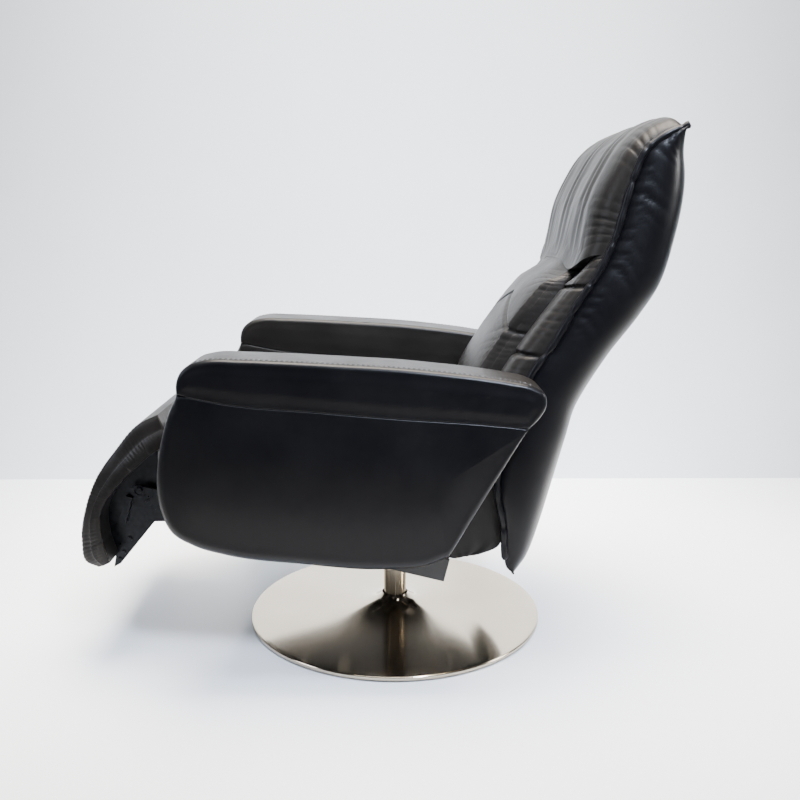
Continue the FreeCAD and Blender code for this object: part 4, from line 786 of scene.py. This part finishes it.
class RECLINER_OT_back(bpy.types.Operator):
    """Middle lumbar cushion, both bolsters and the head cushion."""
    bl_idname = "recliner.back"
    bl_label = "Back cushions"

    def execute(self, context):
        self.lumbar()
        self.bolsters()
        self.head()
        return {"FINISHED"}

    def lumbar(self):
        """Middle cushion, pulled into fine folds by its side seams."""
        def crown(width, share):
            edge = np.abs(width)
            valley = 0.16 * edge ** 2.5
            rounding = 0.2 * fade(edge, 0.93, 1.0) ** 2
            return 1 - valley - rounding

        def lift(x, share):
            edge = np.abs(x) / 0.15
            fine = folds(share * 0.36 + np.abs(x) * 0.3, x, 0.013, 4.0) * (0.4 + 0.6 * fade(edge, 0.1, 0.8))
            pulls = folds(share * 0.36 - np.abs(x) * 0.35, x, 0.024, 9.0) * fade(edge, 0.3, 0.9)
            seam = 0.007 * np.exp(-((share - 0.70 + 0.2 * edge) / 0.011) ** 2)
            return -0.0017 * fine - 0.0014 * pulls - seam
        place = cushion(LUMBAR_FRONT, CUSHION_BACK, -LUMBAR_HALF, LUMBAR_HALF, crown, lift,
                        drop=lambda share: fade(share, 0.78, 1))
        thing = finished("lumbar_pad", sewn("lumbar_pad", 110, 300, place), "leather creased")
        upholstered(inflated(thing, 2.0, 0.004), "backrest", ["lumbar_cushion"])

    def bolsters(self):
        """Side bolsters, each sewn across twice."""
        def crown(width, share):
            inner = fade(width, -1.0, -0.25)
            outer = np.sqrt(np.clip(1 - np.clip(width, 0, 1) ** 2.6, 0, 1))
            return (0.78 + 0.22 * inner) * outer

        for side, sign in (("left", 1), ("right", -1)):
            def lift(x, share):
                spot = (np.abs(x) - 0.15) / 0.1
                seams = sum(np.exp(-((share - s - 0.02 * spot) / 0.012) ** 2) for s in BOLSTER_SEAMS)
                puckers = folds(np.abs(x), share, 0.012, 3.0) * sum(
                    np.exp(-((share - s) / 0.06) ** 2) for s in BOLSTER_SEAMS)
                edge = folds(share * 0.36, x, 0.016, 7.0) * fade(spot, 0.45, 0.95)
                return -0.009 * seams - 0.0016 * puckers - 0.0024 * edge
            place = cushion(BOLSTER_FRONT, CUSHION_BACK, sign * BOLSTER_INNER, sign * BOLSTER_OUTER, crown, lift,
                            drop=lambda share: fade(share, 0.78, 1))
            name = "bolster_pad_" + side
            thing = finished(name, sewn(name, 50, 300, place), "leather creased")
            upholstered(inflated(thing, 1.6, 0.003), "backrest", ["side_bolster_" + side])

    def head(self):
        """Head cushion, full in the middle and pulled in to a pointed corner at each side."""
        def crown(width, share):
            return (1 - np.abs(width) ** 7) ** 0.55

        def lift(x, share):
            edge = np.abs(x) / 0.25
            pulls = folds(x, share, 0.02, 1.0) * (1 - 0.6 * fade(share, 0.2, 0.5))
            side = folds(share * 0.3, x, 0.017, 5.0) * fade(edge, 0.72, 0.95)
            broad = np.sin(x * 95 + 2.2 * np.sin(x * 41 + share * 2) + share) * np.sin(np.pi * share)
            return 0.0016 * broad - 0.0008 * pulls - 0.0026 * side
        place = cushion(HEAD_FRONT, HEAD_SEAM, -HEAD_HALF, HEAD_HALF, crown, lift, 0.66,
                        lambda share: 1 - fade(share, 0, 0.3))
        thing = finished("head_pad", sewn("head_pad", 140, 220, place), "leather creased")
        upholstered(inflated(thing, 2.0, 0.004), "headrest", ["head_cushion"])


class RECLINER_OT_shell(bpy.types.Operator):
    """Leather cover of the back and head in one piece, and the piping along its edge."""
    bl_idname = "recliner.shell"
    bl_label = "Back shell"

    def execute(self, context):
        sizes = context.scene.recliner_sizes
        both = along(np.hstack([SHELL_EDGE, SHELL_REAR]), 200, 2)
        edge_line, rear_line = both[:, :2], both[:, 2:]

        def place(across, lengthwise):
            turn = across * np.pi
            round_off = 2 / 4.6
            x = SHELL_HALF * np.sign(np.cos(turn)) * np.abs(np.cos(turn)) ** round_off
            depth = np.sin(turn) ** round_off
            edge = looked_up(edge_line, lengthwise)
            rear = looked_up(rear_line, lengthwise)
            near_seam = 1 - fade(depth, 0.05, 0.75)
            high = fade(lengthwise, 0.42, 0.6)
            gathers = folds(lengthwise + depth * 0.12, depth * 0.3, 0.026, 2.0) * near_seam * high
            belly = 0.008 * np.sin(np.pi * np.clip(depth, 0, 1)) * fade(lengthwise, 0.05, 0.2)
            spot = edge + (rear - edge) * depth[:, None]
            x = x + np.sign(x) * (belly - sizes.gather_depth * gathers) * (np.abs(x) > 0.2)
            return np.column_stack([x, spot])
        shell = finished("back_shell", sewn("back_shell", 120, 230, place), "leather smooth")
        thick = shell.modifiers.new("Thickness", "SOLIDIFY")
        thick.thickness = 0.003
        thick.offset = -1
        shell.data = baked(shell)
        shell.modifiers.clear()
        shell.data.polygons.foreach_set("use_smooth", [True] * len(shell.data.polygons))
        self.across_joint(shell, ["back_rear_cover", "back_side_cover_left", "back_side_cover_right",
                                  "head_rear_cover", "head_side_covers"])
        lining = finished("neck_lining", self.lining(), "leather smooth")
        self.across_joint(lining, [])
        for side, sign in (("left", 1), ("right", -1)):
            line = np.column_stack([np.full(len(edge_line), sign * SHELL_HALF), edge_line])[8:]
            piping = self.tube("edge_piping_" + side, line, sizes.piping_radius)
            self.across_joint(piping, [])
        return {"FINISHED"}

    def lining(self):
        """Soft strip inside the crease under the head cushion, which shows only when the head is tilted."""
        line = along(LINING_LINE, 40)

        def place(across, around):
            front = around < 0.5
            share = np.where(front, around * 2, 2 - around * 2)
            spot = looked_up(line, share)
            full = 1 - np.abs(across * 2 - 1) ** 4
            spot[:, 0] -= np.where(front, 0.014, 0.009) * full
            return np.column_stack([0.24 * (across * 2 - 1), spot])
        return sewn("neck_lining", 60, 80, place)

    def across_joint(self, thing, nodes):
        """Piece that spans the back and the head section: hide the solids it stands for and bake its place into its
        mesh.
        """
        if nodes:
            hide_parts(*nodes)
        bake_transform(thing)

    def tube(self, name, line, radius):
        """Round cord under leather that follows a line, pinched a little between its stitches."""
        data = bpy.data.curves.new(name, "CURVE")
        data.dimensions = "3D"
        spline = data.splines.new("POLY")
        spline.points.add(len(line) - 1)
        for index, (point, spot) in enumerate(zip(spline.points, line)):
            point.co = (*spot, 1)
            pinch = max(0, math.cos(index * 0.36 + 1.4 * math.sin(index * 0.11))) ** 24
            point.radius = 1 - 0.4 * pinch + 0.08 * math.sin(index * 0.7)
        data.bevel_depth = radius
        data.bevel_resolution = 3
        data.use_fill_caps = True
        thing = bpy.data.objects.new(name, data)
        bpy.context.scene.collection.objects.link(thing)
        mesh = baked(thing)
        bpy.data.objects.remove(thing)
        return finished(name, mesh, "leather smooth")


class RECLINER_OT_legrest(bpy.types.Operator):
    """Leg rest cushion with its gathered side bands."""
    bl_idname = "recliner.legrest"
    bl_label = "Leg rest"

    def execute(self, context):
        depth = context.scene.recliner_sizes.gather_depth

        def crown(width, share):
            edge = np.abs(width)
            return 1 - 0.5 * fade(edge, 0.93, 1.0) ** 2

        def lift(x, share):
            edge = np.abs(x) / LEG_HALF
            gathers = folds(share * 0.4, x, 0.0085, 6.0) * fade(edge, 0.83, 0.95)
            broad = folds(share * 0.4, x, 0.05, 3.0) * (1 - fade(edge, 0.6, 0.9))
            return -0.5 * depth * gathers - 0.0012 * broad
        place = cushion(REST_FACE, behind(REST_LINE, 14), -LEG_HALF, LEG_HALF, crown, lift)
        thing = finished("leg_pad", sewn("leg_pad", 110, 400, place), "leather creased")
        upholstered(inflated(thing, 1.5, 0.003), "footrest", ["footrest_cushion"])
        return {"FINISHED"}


class RECLINER_PT_pieces(bpy.types.Panel):
    """Sidebar panel with every piece of the recliner."""
    bl_idname = "RECLINER_PT_pieces"
    bl_label = "Recliner"
    bl_space_type = "VIEW_3D"
    bl_region_type = "UI"
    bl_category = "Recliner"

    def draw(self, context):
        for group in (context.scene.recliner_sizes, context.scene.recliner_colours):
            for name in group.bl_rna.properties.keys():
                if name not in ("rna_type", "name"):
                    self.layout.prop(group, name)
        for operator in OPERATORS:
            self.layout.operator(operator.bl_idname)


OPERATORS = (RECLINER_OT_stage, RECLINER_OT_lead, RECLINER_OT_hardware, RECLINER_OT_arms, RECLINER_OT_seat,
             RECLINER_OT_back, RECLINER_OT_shell, RECLINER_OT_legrest)
CLASSES = (ReclinerSizes, ReclinerColours) + OPERATORS + (RECLINER_PT_pieces,)


def register():
    for cls in CLASSES:
        bpy.utils.register_class(cls)
    bpy.types.Scene.recliner_sizes = bpy.props.PointerProperty(type=ReclinerSizes)
    bpy.types.Scene.recliner_colours = bpy.props.PointerProperty(type=ReclinerColours)


def unregister():
    del bpy.types.Scene.recliner_colours
    del bpy.types.Scene.recliner_sizes
    for cls in reversed(CLASSES):
        bpy.utils.unregister_class(cls)


def main():
    """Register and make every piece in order."""
    register()
    for operator in OPERATORS:
        group, name = operator.bl_idname.split(".")
        getattr(getattr(bpy.ops, group), name)()


if __name__ == "__main__":
    main()
